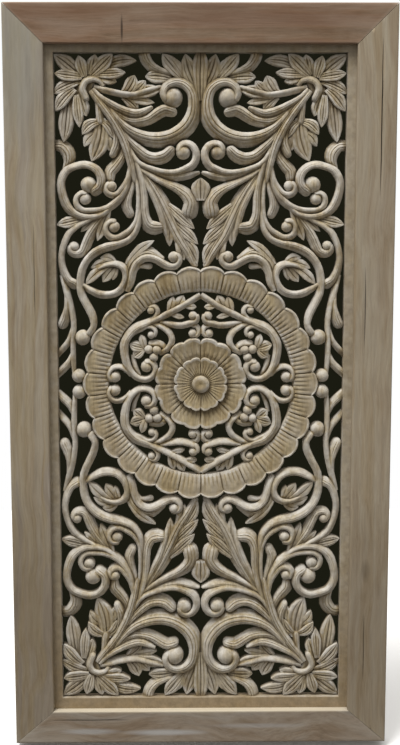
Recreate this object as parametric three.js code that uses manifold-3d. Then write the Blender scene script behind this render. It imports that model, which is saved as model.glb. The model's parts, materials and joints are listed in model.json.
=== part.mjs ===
// Carved openwork wall panel: one pierced board held in a mitred wooden frame.
// Millimetres. X to the right, Y back into the wall, Z up.
// The origin is on the wall plane, at the middle of the top rail's back face, where the panel hangs.
import * as THREE from "three";
import { mergeVertices } from "three/addons/utils/BufferGeometryUtils.js";
import Module from "manifold-3d";

const wasm = await Module();
wasm.setup();

// ---- driving dimensions ---------------------------------------------------------------------
const WIDTH = 615;                  // outside of the frame
const TOP_EDGE = 31;                // top edge of the top rail, above the origin
const BOTTOM_EDGE = -1169;          // bottom edge of the bottom rail
const FRAME_FRONT = -36;            // front face of the frame
const STILE = 63.3;                 // face width of the two stiles
const TOP_RAIL = 62.4;
const BOTTOM_RAIL = 55.4;
const FRAME_EDGE = 3;               // rounded-over outer and inner front edges
const EDGE_MIDDLE = 0.3;            // where the middle of that rounding lies, as a share of it
const LIP = 10;                     // width of the lip that laps over the board
const BOARD_FRONT = -23;            // flat margin of the board
const BOARD_BACK = -3;
const SIDE_MARGIN = 13.8;           // flat margin left showing inside the lip, at the sides
const TOP_MARGIN = 11.6;
const BOTTOM_MARGIN = 18.2;
const GAP = 0.3;                    // clearance between pieces that touch
const CENTRE_Z = -566.7;            // middle of the medallion
const HALF_OPENING = WIDTH / 2 - STILE - SIDE_MARGIN;
const OPENING_TOP = TOP_EDGE - TOP_RAIL - TOP_MARGIN;
const OPENING_BOTTOM = BOTTOM_EDGE + BOTTOM_RAIL + BOTTOM_MARGIN;

const CROWN = -22.4;                // crown of the boldest scrolls
const LEVEL = 1.6;                  // how much lower each level of the carving lies
const SHOULDER = 0.75;              // fall from crown to edge, as a share of the half width
const SHOULDER_MOST = 8;
const DRAWN_TOP = 523.7;            // height above the centre that the ornament below is drawn for

const BOARD_TRIANGLES = 9500;       // the carving is lowered to this many faces
const FLATTEST_TURN = 0.3;          // cosine of the most that one face may turn in a collapse
const LEAST_AREA = 0.01;            // square millimetres that a face keeps in a collapse

// ---- ring and flower ------------------------------------------------------------------------
const RING = { scallops: 30, inner: 149, dip: 183, peak: 190.5, inside: -16, crown: -21.5, rim: -20 };
const OUTER_PETALS = { petals: 8, notch: 68, peak: 75.5, dip: 72, middle: 40, bowl: -17.6, rim: -20.4 };
const INNER_PETALS = { petals: 8, notch: 39, peak: 44, dip: 42, middle: 14, bowl: -20.4, rim: -22.9 };
const SCALLOP_STEPS = 3;            // stations along one scallop of the ring
const PETAL_STEPS = 6;              // stations along the edge of one petal of the flower
const RING_CREST = 6;               // how far the ring's crest lies outside the middle of its width
const NOTCH_DEPTH = 1.5;            // how far the line between two scallops is sunk
const LOBE_FULLNESS = 0.7;          // under 1 makes a lobe rounder than a sine
const BOSS = { sides: 16, radius: 14, side: -22, shoulder: -26.5, shoulderRadius: 10.5, top: -28, flat: 2 };

// ---- the ornament, one quarter of the board -------------------------------------------------
// A scroll: name, then its centre line as [across, up, half width], then the volute it ends in as
// [eye across, eye up, sweep in degrees, end radius, end half width, ball radius], then its level.
// Distances run from the middle of the medallion; the other three quarters mirror this one.
const SCROLLS = [
  ["great_scroll", [[147, 442, 4], [131, 420, 6], [112, 402, 9], [90, 392, 11], [66, 389, 12],
    [42, 394.5, 12.5], [22, 409, 13], [11.2, 427, 12.4], [9.2, 450, 9.8]], [44, 455, -200, 12, 5, 16], 0],
  ["flare_low", [[166, 463, 4], [152, 446, 5], [134, 428, 7], [112, 417, 8], [84, 420, 8], [57, 435, 9],
    [45, 433, 8]], [], 2],
  ["flare_top", [[170, 467, 4], [158, 454, 5], [138, 441, 7], [118, 432, 8], [100, 429, 8],
    [78, 439, 3]], [], 0],
  ["branch", [[168, 470, 5], [128, 461, 5], [105, 459, 5], [85, 464, 5], [64, 470, 4]], [], 1],
  ["drop_stem", [[170, 468, 5], [161, 452, 6], [157, 418, 7]], [], 2],
  ["trunk", [[172, 466, 6], [151, 440, 8], [139, 424, 8], [126, 403, 9], [118, 386, 9], [112, 366, 8],
    [107, 345, 7], [103, 325, 5]], [], 0],
  ["frond_short", [[136, 412, 5], [131, 396, 8], [131, 383, 9], [138, 367, 6]], [], 2],
  ["frond_blunt", [[121, 390, 5], [123, 368, 7], [133, 352, 9], [143, 340, 9.5], [144, 330, 8]], [], 3],
  ["side_volute", [[138, 287, 3], [156, 272, 4], [178, 267, 6], [198, 272, 6], [213, 286, 7],
    [222, 322, 6], [213, 341, 6], [199, 348, 5.5]], [178, 319, 170, 14.5, 8, 13], 0],
  ["hook_near", [[113, 378, 4], [108, 360, 5], [110, 342, 6], [115, 325, 6], [124, 311, 6]],
    [141.5, 317, 200, 6, 4, 8.5], 1],
  ["hook_far", [[110, 356, 4], [112, 338, 4.5], [117, 314, 5], [127, 298, 6], [142, 285, 6],
    [160, 278, 6], [177, 278, 5]], [184, 297, 200, 9, 4, 9.5], 1],
  ["edge_curl", [[234, 381, 8], [219, 380, 10], [209, 369, 11], [208, 357, 9], [214, 344, 5]], [], 3],
  ["swell", [[128, 410, 4], [116, 390, 6.5], [98, 371, 9.5], [84, 362, 10], [70, 360, 10], [57, 364, 10],
    [48, 372, 8.5]], [], 1],
  ["second_scroll", [[114, 379, 4], [106, 362, 4.5], [96, 351, 5], [80, 344, 5], [60, 338, 5.5],
    [40, 337, 6], [23, 343, 6.5]], [27.5, 370, -230, 8, 5, 11.5], 0],
  ["tongue", [[111, 370, 3.5], [104, 357, 3.5], [94, 348, 4], [80, 341, 5], [60, 333, 6], [40, 330, 6],
    [20, 333, 6], [4, 338, 3]], [], 2],
  ["club", [[108, 362, 3.5], [101, 350, 3.5], [90, 341, 4], [74, 331, 5], [54, 321, 6], [36, 313, 8],
    [22, 303, 10.5], [15, 291, 12], [17, 277, 13]], [], 1],
  ["acanthus_rib", [[107, 362, 4], [98, 350, 5], [86, 334, 6], [66, 303, 9], [50, 272, 12],
    [34, 238, 12], [18, 212, 9], [9, 192, 5]], [], 2],
  ["acanthus_side", [[103, 350, 4], [93, 334, 4.5], [67, 288, 7], [53, 240, 5]], [], 1],
  ["crook", [[107, 364, 4], [101, 350, 4.5], [94, 326, 5.5], [91, 300, 7.5], [91, 280, 8], [89, 266, 9],
    [82.5, 254, 10.3], [73, 250.5, 10.8], [66, 251, 9]], [], 0],
  ["frond_mid", [[107, 352, 3], [106, 334, 4], [109, 318, 5], [116, 300, 7], [118, 285, 8],
    [113, 273, 7]], [], 3],
  ["hook_low", [[102, 336, 3], [99, 316, 4], [98, 290, 4.5], [100, 266, 5], [109, 249, 6],
    [122, 240, 6]], [138, 253, 230, 9, 4, 9], 1],
  ["long_tendril", [[138, 288, 4], [180, 264, 5], [198, 254, 5], [212, 240, 5], [223, 202, 5],
    [213, 168, 7], [203, 161, 8]], [], 1],
  ["s_scroll", [[95, 286, 4], [97, 266, 4.5], [102, 247, 4.5], [113, 233, 5], [131, 225, 6],
    [150, 221, 7], [168, 213, 7], [182, 200, 6], [190, 184, 6], [193, 165, 6], [191, 146, 6],
    [174, 110, 6], [172, 95, 5], [178, 83, 6]], [], 0],
  ["loop", [[190, 160, 4], [165, 146, 6], [150, 144, 6], [135, 148, 6], [124, 159, 6], [119, 174, 6],
    [123, 187, 6], [135, 194, 5], [150, 193, 4], [163, 187, 3]], [], 0],
  ["wave", [[118, 150, 4], [112, 164, 6], [109, 178, 6], [102, 194, 6], [90, 203, 6], [77, 203, 6],
    [52, 190, 6]], [43, 205, -170, 6, 3, 9], 0],
  ["wave_leaf", [[120, 172, 4], [114, 194, 8], [101, 208, 9], [85, 214, 9], [61, 203, 3]], [], 2],
  ["wave_curl", [[108, 176, 3], [99, 190, 4], [82, 190, 5]], [], 3],
  ["edge_stem", [[223, 176, 3], [215, 150, 5], [205, 105, 4], [206, 55, 4], [204, 12, 3]], [], 2],
  ["edge_leaf_1", [[216, 148, 3], [214, 125, 5], [218, 106, 8], [222, 97, 8]], [], 1],
  ["edge_leaf_2", [[206, 92, 3], [212, 70, 5], [232, 47, 5]], [], 2],
  ["edge_leaf_3", [[206, 52, 3], [212, 35, 6], [232, 15, 6]], [], 2],
  ["leaf_scroll", [[148, 277, 4], [165, 256, 8], [177, 238, 8], [184, 222, 8]], [203, 222, 170, 6, 4, 8],
    2],
  ["crest_band", [[40, 490, 4], [62, 495, 6], [78, 503, 8], [87, 516, 9], [89, 528, 9]], [], 2],
  ["collar", [[152, 473, 5], [158, 481, 5], [169, 484, 6], [181, 479, 6], [186, 468, 6], [181, 453, 6]],
    [], 0],
  ["arm", [[0, 144, 5], [27, 127, 5], [60, 109, 5], [96, 92, 4]], [], 1],
  ["arm_low", [[66, 99, 3], [48, 96, 5], [30, 95, 5], [15, 99, 5]], [12, 111, -100, 7, 3, 7], 1],
  ["bud_link", [[16, 96, 3], [6, 93, 4]], [13, 82, 90, 7, 3, 7], 2],
  ["inner_volute", [[74, 104, 5], [90, 98, 6], [106, 91, 7], [118, 78, 7], [124, 62, 7], [118, 28, 6],
    [108, 14, 5]], [88, 28, -230, 8, 4, 9], 0],
  ["inner_bud", [[82, 100, 3], [71, 110, 4]], [80, 119, -150, 6, 3, 6], 2],
  ["inner_loop", [[78, 98, 3], [62, 93, 5], [51, 84, 5], [46, 72, 5], [50, 60, 5], [64, 50, 4]], [], 1],
  ["inner_curl", [[120, 70, 3], [109, 83, 4], [96, 89, 4]], [80, 79, 150, 6, 3, 6], 2],
  ["berry_arc", [[56, 58, 4], [66, 65, 5], [80, 65, 5]], [], 1],
  ["inner_strand", [[110, 46, 3], [107, 30, 4], [101, 14, 4]], [], 3],
  ["inner_tie", [[112, 14, 4], [121, 23, 4], [131, 28, 4], [141, 27, 4]], [139, 11, -110, 8, 4, 9], 1],
];

// A petal or leaf lobe: from across, up to the tip across, up, then half width, bend and level.
const PETALS = [
  [120, 461, 103.5, 489, 12, 3, 3], [107, 462, 86, 480.5, 9, 2, 3], [116, 458, 60.5, 468, 10, -1, 3],
  [121, 456, 99, 436, 9, -2, 4], [112, 453, 73, 447, 6, 0, 4], [157, 424, 172, 356, 15, -6, 2],
  [160, 418, 187, 398, 9, 5, 2], [162, 402, 184, 379, 8, 4, 3], [155, 418, 138, 393, 9, -5, 2],
  [156, 400, 144, 373, 8, -4, 3], [52, 287, 10, 249, 9, 0, 3], [46, 264, 4, 225, 9, 0, 3],
  [34, 238, 5, 194, 11, -3, 3], [50, 264, 50, 222, 7, 0, 3], [38, 236, 26, 200, 8, 0, 3],
  [118, 192, 74, 231, 7, -5, 2], [136, 196, 161, 204, 6.5, 4, 3], [140, 195, 176, 187, 7, 4, 3],
  [134, 190, 141, 168, 5, 0, 3], [138, 190, 157, 165, 8, 0, 3], [148, 191, 184, 161, 8, 3, 2],
  [186, 266, 229, 256, 9, 0, 2], [146, 280, 165, 231, 8, 0, 3], [158, 274, 191, 245, 6, 0, 3],
  [5, 468, 24, 522, 13, -3, 3], [30, 486, 60, 522, 11.5, 0, 2], [29, 484, 41, 515, 8, 0, 3],
  [46, 484, 87, 487, 11, 2, 3], [172, 488, 138, 522, 11.5, 0, 1], [172, 488, 165, 521, 10, 0, 2],
  [182, 486, 191, 519, 9.5, 0, 1], [186, 486, 230, 521, 12, 2, 2], [186, 486, 229, 492, 9.5, 0, 1],
  [190, 480, 232, 461, 9.5, 3, 2], [198, 468, 228, 434, 10.5, 3, 1], [207, 458, 216, 386, 12, 0, 3],
  [195, 458, 191, 409, 8.5, 0, 1], [190, 460, 180, 426, 9.5, 0, 2], [165, 490, 118, 494, 8.5, 0, 1],
  [160, 486, 132, 480, 7.5, 0, 2], [155, 499, 101, 512, 9.5, -6, 3], [172, 500, 212, 452, 23, 0, 3.4],
  [158, 415, 162, 384, 14, 0, 3.6], [38, 122, 27, 143, 8, 0, 3], [50, 113, 43.5, 141, 7, 0, 3],
  [24, 126, 6, 125, 5, 0, 3], [47, 112, 26, 108, 4, 0, 3], [90, 58, 97, 80, 6, 0, 2],
  [92, 57, 115, 64, 8.5, 0, 2], [92.5, 56, 109, 43, 8.5, 0, 2],
];
const AXIS_PETALS = [[0, 450, 0, 537, 12.5, 0, 2], [0, 294, 0, 330, 15, 0, 3]];

// Balls and berries that no scroll ends in: across, up, radius, level.
const BALLS = [[190, 75, 12.5, 0], [197, 13, 11, 0], [71, 55, 7.2, 0], [84, 56, 7, 0], [76, 43, 7.2, 0]];

// ---- solids ---------------------------------------------------------------------------------

// Joins closed rings of points, all of the same count, into one closed body.
function loft(rings, closed = false) {
  const count = rings[0].length;
  const positions = rings.flat(2);
  const index = [];
  const steps = closed ? rings.length : rings.length - 1;
  for (let i = 0; i < steps; i += 1) {
    const next = (i + 1) % rings.length;
    for (let j = 0; j < count; j += 1) {
      const k = (j + 1) % count;
      const a = i * count + j;
      const b = i * count + k;
      const c = next * count + k;
      const d = next * count + j;
      index.push(a, b, c, a, c, d);
    }
  }
  if (!closed) {
    const last = (rings.length - 1) * count;
    for (let j = 1; j < count - 1; j += 1) {
      index.push(0, j + 1, j);
      index.push(last, last + j, last + j + 1);
    }
  }
  const geometry = new THREE.BufferGeometry();
  geometry.setAttribute("position", new THREE.Float32BufferAttribute(positions, 3));
  geometry.setIndex(index);
  return geometry;
}

// Six times the signed volume: negative when the faces point inwards.
function signedVolume(geometry) {
  const p = geometry.getAttribute("position");
  const index = geometry.getIndex().array;
  const [a, b, c] = [new THREE.Vector3(), new THREE.Vector3(), new THREE.Vector3()];
  let sum = 0;
  for (let i = 0; i < index.length; i += 3) {
    a.fromBufferAttribute(p, index[i]);
    b.fromBufferAttribute(p, index[i + 1]);
    c.fromBufferAttribute(p, index[i + 2]);
    sum += a.dot(b.cross(c));
  }
  return sum;
}

function faceOut(geometry) {
  if (signedVolume(geometry) < 0) {
    geometry.setIndex(Array.from(geometry.getIndex().array).reverse());
  }
  return geometry;
}

// Sum of squared distances to a set of planes, as the ten numbers of a symmetric 4 by 4 matrix.
class Quadric {
  constructor(n = [0, 0, 0], d = 0, weight = 0) {
    const [a, b, c] = n;
    this.m = [a * a, a * b, a * c, a * d, b * b, b * c, b * d, c * c, c * d, d * d].map((x) => x * weight);
  }

  add(other) {
    const sum = new Quadric();
    sum.m = this.m.map((x, i) => x + other.m[i]);
    return sum;
  }

  error({ x, y, z }) {
    const m = this.m;
    return m[0] * x * x + 2 * m[1] * x * y + 2 * m[2] * x * z + 2 * m[3] * x
      + m[4] * y * y + 2 * m[5] * y * z + 2 * m[6] * y + m[7] * z * z + 2 * m[8] * z + m[9];
  }
}

// Lowers a closed mesh to a triangle budget by collapsing, again and again, the edge whose loss moves
// the surface least. A collapse that would pinch the surface or turn a face over is never made.
class Decimator {
  constructor(geometry) {
    const p = geometry.getAttribute("position");
    this.points = Array.from({ length: p.count }, (_, i) => new THREE.Vector3().fromBufferAttribute(p, i));
    this.faces = [];
    this.around = this.points.map(() => new Set());
    this.quadrics = this.points.map(() => new Quadric());
    this.stamps = this.points.map(() => 0);
    this.heap = [];
    const index = geometry.getIndex().array;
    for (let i = 0; i < index.length; i += 3) {
      this.addFace([index[i], index[i + 1], index[i + 2]]);
    }
    this.alive = this.faces.length;
    for (const face of this.faces) {
      face.forEach((a, i) => this.offer(a, face[(i + 1) % 3]));
    }
  }

  normal([a, b, c]) {
    const [p, q, r] = [this.points[a], this.points[b], this.points[c]];
    return q.clone().sub(p).cross(r.clone().sub(p));
  }

  addFace(face) {
    const normal = this.normal(face);
    const area = normal.length() / 2;
    if (area > 0) {
      normal.normalize();
    }
    const plane = new Quadric(normal.toArray(), -normal.dot(this.points[face[0]]), area);
    for (const vertex of face) {
      this.around[vertex].add(this.faces.length);
      this.quadrics[vertex] = this.quadrics[vertex].add(plane);
    }
    this.faces.push(face);
  }

  // Puts an edge on the heap with the best of three places for the vertex that would replace it.
  offer(a, b) {
    if (a > b) {
      return;
    }
    const [p, q] = [this.points[a], this.points[b]];
    const both = this.quadrics[a].add(this.quadrics[b]);
    const places = [p.clone(), q.clone(), p.clone().lerp(q, 0.5)];
    const costs = places.map((place) => Math.max(both.error(place), 0));
    const best = costs.indexOf(Math.min(...costs));
    const cost = costs[best] + 1e-6 * p.distanceTo(q);
    this.push({ cost, a, b, place: places[best], stamp: this.stamps[a] + this.stamps[b] });
  }

  push(entry) {
    let i = this.heap.length;
    while (i > 0) {
      const parent = (i - 1) >> 1;
      if (this.heap[parent].cost <= entry.cost) {
        break;
      }
      this.heap[i] = this.heap[parent];
      i = parent;
    }
    this.heap[i] = entry;
  }

  pop() {
    const top = this.heap[0];
    const last = this.heap.pop();
    const size = this.heap.length;
    let i = 0;
    while (size > 0 && 2 * i + 1 < size) {
      let child = 2 * i + 1;
      if (child + 1 < size && this.heap[child + 1].cost < this.heap[child].cost) {
        child += 1;
      }
      if (this.heap[child].cost >= last.cost) {
        break;
      }
      this.heap[i] = this.heap[child];
      i = child;
    }
    if (size > 0) {
      this.heap[i] = last;
    }
    return top;
  }

  neighbours(vertex) {
    const found = new Set();
    for (const face of this.around[vertex]) {
      this.faces[face].forEach((other) => found.add(other));
    }
    found.delete(vertex);
    return found;
  }

  mayCollapse(a, b, place) {
    const near = this.neighbours(b);
    const shared = [...this.neighbours(a)].filter((vertex) => near.has(vertex));
    if (shared.length !== 2) {
      return false;
    }
    for (const [vertex, other] of [[a, b], [b, a]]) {
      for (const face of this.around[vertex]) {
        if (this.faces[face].includes(other)) {
          continue;
        }
        const before = this.normal(this.faces[face]);
        const kept = this.points[vertex];
        this.points[vertex] = place;
        const after = this.normal(this.faces[face]);
        this.points[vertex] = kept;
        const turned = before.dot(after) < FLATTEST_TURN * before.length() * after.length();
        if (turned || after.length() < 2 * LEAST_AREA) {
          return false;
        }
      }
    }
    return true;
  }

  collapse(a, b, place) {
    for (const face of [...this.around[b]]) {
      if (this.faces[face].includes(a)) {
        this.faces[face].forEach((vertex) => this.around[vertex].delete(face));
        this.faces[face] = null;
        this.alive -= 1;
      } else {
        this.faces[face] = this.faces[face].map((vertex) => (vertex === b ? a : vertex));
        this.around[a].add(face);
      }
    }
    this.around[b].clear();
    this.points[a] = place;
    this.quadrics[a] = this.quadrics[a].add(this.quadrics[b]);
    this.stamps[a] += 1;
    this.stamps[b] += 1;
    for (const vertex of this.neighbours(a)) {
      this.offer(Math.min(a, vertex), Math.max(a, vertex));
    }
  }

  reduceTo(budget) {
    while (this.alive > budget && this.heap.length > 0) {
      const { a, b, place, stamp } = this.pop();
      const unchanged = this.stamps[a] + this.stamps[b] === stamp;
      const used = this.around[a].size > 0 && this.around[b].size > 0;
      if (unchanged && used && this.mayCollapse(a, b, place)) {
        this.collapse(a, b, place);
      }
    }
    const geometry = new THREE.BufferGeometry();
    const corners = this.faces.filter(Boolean).flat();
    const positions = corners.flatMap((vertex) => this.points[vertex].toArray());
    geometry.setAttribute("position", new THREE.Float32BufferAttribute(positions, 3));
    return mergeVertices(geometry, 1e-5);
  }
}

function toManifold(geometry) {
  faceOut(geometry);
  const vertProperties = Float32Array.from(geometry.getAttribute("position").array);
  const triVerts = Uint32Array.from(geometry.getIndex().array);
  return new wasm.Manifold(new wasm.Mesh({ numProp: 3, vertProperties, triVerts }));
}

function fromManifold(solid) {
  const mesh = solid.getMesh();
  const geometry = new THREE.BufferGeometry();
  geometry.setAttribute("position", new THREE.Float32BufferAttribute(mesh.vertProperties, 3));
  geometry.setIndex(Array.from(mesh.triVerts));
  return geometry;
}

// ---- carving --------------------------------------------------------------------------------

const FINE_POINTS = 120;            // points a curve is measured by before it is thinned
const TURN_PER_STEP = THREE.MathUtils.degToRad(38);
const LENGTH_PER_STEP = 55;
const VOLUTE_STEP = 30;             // degrees between the points that lead round an eye
const TIP = { reach: 0.8, narrows: 0.4 };       // the rounded end of a strand, in half widths
const PETAL_WIDTHS = [[0, 0.5], [0.5, 1], [0.82, 0.62], [1, 0.1]];      // shares of length and half width
const BALL = { rise: 0.15, shoulder: 0.6, top: 0.45 };                  // a ball's dome, in radii

// The centre line of a scroll with its half width as the third coordinate, volute included.
function centreLine(points, volute) {
  const line = points.map(([u, v, w]) => new THREE.Vector3(u, v, w));
  if (volute.length > 0) {
    const [eyeU, eyeV, sweep, endRadius, endHalf] = volute;
    const start = line[line.length - 1];
    const angle = Math.atan2(start.y - eyeV, start.x - eyeU);
    const radius = Math.hypot(start.x - eyeU, start.y - eyeV);
    const count = Math.round(Math.abs(sweep) / VOLUTE_STEP);
    for (let i = 1; i <= count; i += 1) {
      const t = i / count;
      const a = angle + THREE.MathUtils.degToRad(sweep) * t;
      const r = THREE.MathUtils.lerp(radius, endRadius, t);
      const half = THREE.MathUtils.lerp(start.z, endHalf, t);
      line.push(new THREE.Vector3(eyeU + r * Math.cos(a), eyeV + r * Math.sin(a), half));
    }
  }
  return new THREE.CatmullRomCurve3(line, false, "centripetal");
}

// Walks a curve and keeps a station wherever it has turned or run far enough.
function stations(curve) {
  const fine = curve.getPoints(FINE_POINTS);
  const kept = [];
  let turned = 0;
  let run = 0;
  for (let i = 0; i < fine.length; i += 1) {
    const before = fine[Math.max(i - 1, 0)];
    const after = fine[Math.min(i + 1, fine.length - 1)];
    const heading = Math.atan2(after.y - before.y, after.x - before.x);
    if (i > 0) {
      const last = Math.atan2(fine[i].y - before.y, fine[i].x - before.x);
      const turn = THREE.MathUtils.euclideanModulo(heading - last + Math.PI, 2 * Math.PI) - Math.PI;
      turned += Math.abs(turn) * 2;
      run += Math.hypot(fine[i].x - before.x, fine[i].y - before.y);
    }
    const end = i === 0 || i === fine.length - 1;
    if (end || turned > TURN_PER_STEP || run > LENGTH_PER_STEP) {
      kept.push({ u: fine[i].x, v: fine[i].y, half: fine[i].z, heading });
      turned = 0;
      run = 0;
    }
  }
  return kept;
}

// One ring of a carved strand: two edges, two shoulders and a crown.
function strandRing({ u, v, half, heading }, level) {
  const [nu, nv] = [-Math.sin(heading), Math.cos(heading)];
  const crown = CROWN + level * LEVEL;
  const shoulder = crown + Math.min(half * SHOULDER, SHOULDER_MOST);
  return [
    [u + nu * half, BOARD_BACK, v + nv * half],
    [u + nu * half, shoulder, v + nv * half],
    [u, crown, v],
    [u - nu * half, shoulder, v - nv * half],
    [u - nu * half, BOARD_BACK, v - nv * half],
  ];
}

function scrollSolids([, points, volute, level]) {
  const kept = stations(centreLine(points, volute));
  const last = kept[kept.length - 1];
  const reach = last.half * TIP.reach;
  const tip = {
    u: last.u + Math.cos(last.heading) * reach,
    v: last.v + Math.sin(last.heading) * reach,
    half: last.half * TIP.narrows,
    heading: last.heading,
  };
  const solids = [loft([...kept, tip].map((station) => strandRing(station, level)))];
  if (volute.length > 0) {
    solids.push(ballSolid([volute[0], volute[1], volute[5], level]));
  }
  return solids;
}

function petalSolid([fromU, fromV, tipU, tipV, half, bend, level]) {
  const heading = Math.atan2(tipV - fromV, tipU - fromU);
  return loft(PETAL_WIDTHS.map(([t, share]) => strandRing({
    u: THREE.MathUtils.lerp(fromU, tipU, t) - Math.sin(heading) * 4 * bend * t * (1 - t),
    v: THREE.MathUtils.lerp(fromV, tipV, t) + Math.cos(heading) * 4 * bend * t * (1 - t),
    half: half * share,
    heading,
  }, level)));
}

// A low dome on a round post that reaches the back of the board.
function ballSolid([u, v, radius, level]) {
  const sides = radius > 10 ? 10 : 8;
  const crown = CROWN + level * LEVEL - radius * BALL.rise;
  const ring = (r, y) => Array.from({ length: sides }, (_, i) => {
    const a = (i / sides) * 2 * Math.PI;
    return [u + r * Math.cos(a), y, v + r * Math.sin(a)];
  });
  return loft([
    ring(radius, BOARD_BACK),
    ring(radius, crown + radius * BALL.shoulder),
    ring(radius * BALL.top, crown),
  ]);
}

function quarterSolids() {
  return [
    ...SCROLLS.flatMap(scrollSolids),
    ...PETALS.map(petalSolid),
    ...BALLS.map(ballSolid),
  ];
}

// Mirrors a solid of the drawn quarter into one quarter of the board.
function placeQuarter(geometry, side, upper) {
  const reach = upper > 0 ? OPENING_TOP - CENTRE_Z : CENTRE_Z - OPENING_BOTTOM;
  const placed = geometry.clone();
  placed.scale(side, 1, (upper * reach) / DRAWN_TOP);
  placed.translate(0, 0, CENTRE_Z);
  return placed;
}

// ---- ring and flower ------------------------------------------------------------------------

// Lobed outline: notches between lobes, each lobe with one or two bumps.
function lobedRadius(t, { notch, peak, dip }) {
  const bump = Math.abs(Math.sin(2 * Math.PI * t)) ** LOBE_FULLNESS;
  const floor = THREE.MathUtils.lerp(dip, notch, Math.abs(2 * t - 1) ** 6);
  return THREE.MathUtils.lerp(floor, peak, bump);
}

function ringSolid() {
  const count = RING.scallops * SCALLOP_STEPS;
  const rings = [];
  for (let i = 0; i < count; i += 1) {
    const t = (i % SCALLOP_STEPS) / SCALLOP_STEPS;
    const angle = (i / count) * 2 * Math.PI + Math.PI / 2;
    const outer = THREE.MathUtils.lerp(RING.dip, RING.peak, Math.sin(Math.PI * t) ** LOBE_FULLNESS);
    const sunk = t === 0 ? NOTCH_DEPTH : 0;
    const middle = (RING.inner + outer) / 2 + RING_CREST;
    const section = [
      [RING.inner, BOARD_BACK], [RING.inner, RING.inside], [middle, RING.crown + sunk],
      [outer, RING.rim + sunk], [outer, BOARD_BACK],
    ];
    rings.push(section.map(([r, y]) => [r * Math.cos(angle), y, CENTRE_Z + r * Math.sin(angle)]));
  }
  return loft(rings, true);
}

// One tier of the flower: a dished disc with a petalled outline.
function tierSolid(tier) {
  const count = tier.petals * PETAL_STEPS;
  const ring = (radiusAt, y) => Array.from({ length: count }, (_, i) => {
    const angle = (i / count) * 2 * Math.PI + Math.PI / 2;
    const r = radiusAt((i % PETAL_STEPS) / PETAL_STEPS);
    return [r * Math.cos(angle), y, CENTRE_Z + r * Math.sin(angle)];
  });
  return loft([
    ring((t) => lobedRadius(t, tier), BOARD_BACK),
    ring((t) => lobedRadius(t, tier), tier.rim),
    ring(() => tier.middle, tier.bowl),
  ]);
}

function bossSolid() {
  const ring = (r, y) => Array.from({ length: BOSS.sides }, (_, i) => {
    const a = (i / BOSS.sides) * 2 * Math.PI;
    return [r * Math.cos(a), y, CENTRE_Z + r * Math.sin(a)];
  });
  return loft([
    ring(BOSS.radius, BOARD_BACK),
    ring(BOSS.radius, BOSS.side),
    ring(BOSS.shoulderRadius, BOSS.shoulder),
    ring(BOSS.flat, BOSS.top),
  ]);
}

// ---- board ----------------------------------------------------------------------------------

// The flat margin round the carving, with the strip that the frame's lip covers.
function marginSolid() {
  const hidden = LIP - GAP;
  const halfLip = WIDTH / 2 - STILE;
  const corners = (half, bottom, top, y) => [
    [-half, y, bottom], [half, y, bottom], [half, y, top], [-half, y, top],
  ];
  const outer = [halfLip + hidden, BOTTOM_EDGE + BOTTOM_RAIL - hidden, TOP_EDGE - TOP_RAIL + hidden];
  const inner = [HALF_OPENING, OPENING_BOTTOM, OPENING_TOP];
  const rings = [
    corners(...outer, BOARD_BACK), corners(...outer, BOARD_FRONT),
    corners(...inner, BOARD_FRONT), corners(...inner, BOARD_BACK),
  ];
  const section = [0, 1, 2, 3].map((corner) => rings.map((ring) => ring[corner]));
  return loft(section, true);
}

function carvedBoard() {
  const quarter = quarterSolids();
  const flower = [OUTER_PETALS, INNER_PETALS].map(tierSolid);
  const pieces = [marginSolid(), ringSolid(), ...flower, bossSolid()];
  for (const upper of [1, -1]) {
    pieces.push(...AXIS_PETALS.map((petal) => placeQuarter(petalSolid(petal), 1, upper)));
    for (const side of [1, -1]) {
      pieces.push(...quarter.map((geometry) => placeQuarter(geometry, side, upper)));
    }
  }
  const whole = fromManifold(pieces.map(toManifold).reduce((sum, piece) => sum.add(piece)));
  return new Decimator(whole).reduceTo(BOARD_TRIANGLES);
}

// ---- frame ----------------------------------------------------------------------------------

// Section of a frame member: distance from its outer edge, then depth. The lip laps over the board.
function memberSection(face) {
  const e = FRAME_EDGE;
  const middle = e * EDGE_MIDDLE;
  const lipBack = BOARD_FRONT - GAP;
  return [
    [0, 0], [0, FRAME_FRONT + e], [middle, FRAME_FRONT + middle], [e, FRAME_FRONT],
    [face - e, FRAME_FRONT], [face - middle, FRAME_FRONT + middle], [face, FRAME_FRONT + e],
    [face, lipBack], [face - LIP, lipBack], [face - LIP, 0],
  ];
}

// A member whose two ends are cut along the mitre: each end steps in as the section steps in.
function memberSolid(face, startInset, endInset, length, place) {
  const section = memberSection(face);
  const seam = GAP / 2;
  const start = section.map(([d, y]) => place(seam + (d / face) * startInset, d, y));
  const end = section.map(([d, y]) => place(length - seam - (d / face) * endInset, d, y));
  return faceOut(loft([start, end]));
}

function frameMembers() {
  const height = TOP_EDGE - BOTTOM_EDGE;
  const left = -WIDTH / 2;
  const stile = (place) => memberSolid(STILE, BOTTOM_RAIL, TOP_RAIL, height, place);
  return {
    left_stile: stile((s, d, y) => [left + d, y, BOTTOM_EDGE + s]),
    right_stile: stile((s, d, y) => [-left - d, y, BOTTOM_EDGE + s]),
    top_rail: memberSolid(TOP_RAIL, STILE, STILE, WIDTH, (s, d, y) => [left + s, y, TOP_EDGE - d]),
    bottom_rail: memberSolid(BOTTOM_RAIL, STILE, STILE, WIDTH, (s, d, y) => [left + s, y, BOTTOM_EDGE + d]),
  };
}

// ---- the panel ------------------------------------------------------------------------------

function wood(color, roughness) {
  return new THREE.MeshStandardMaterial({ color, roughness, metalness: 0 });
}

const FINISH = {
  left_stile: wood(0x9b8f7c, 0.7),
  right_stile: wood(0x8b7f6e, 0.7),
  top_rail: wood(0x7d6b5a, 0.65),
  bottom_rail: wood(0x8d8578, 0.7),
  carved_board: wood(0xb4a894, 0.75),
};

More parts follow.
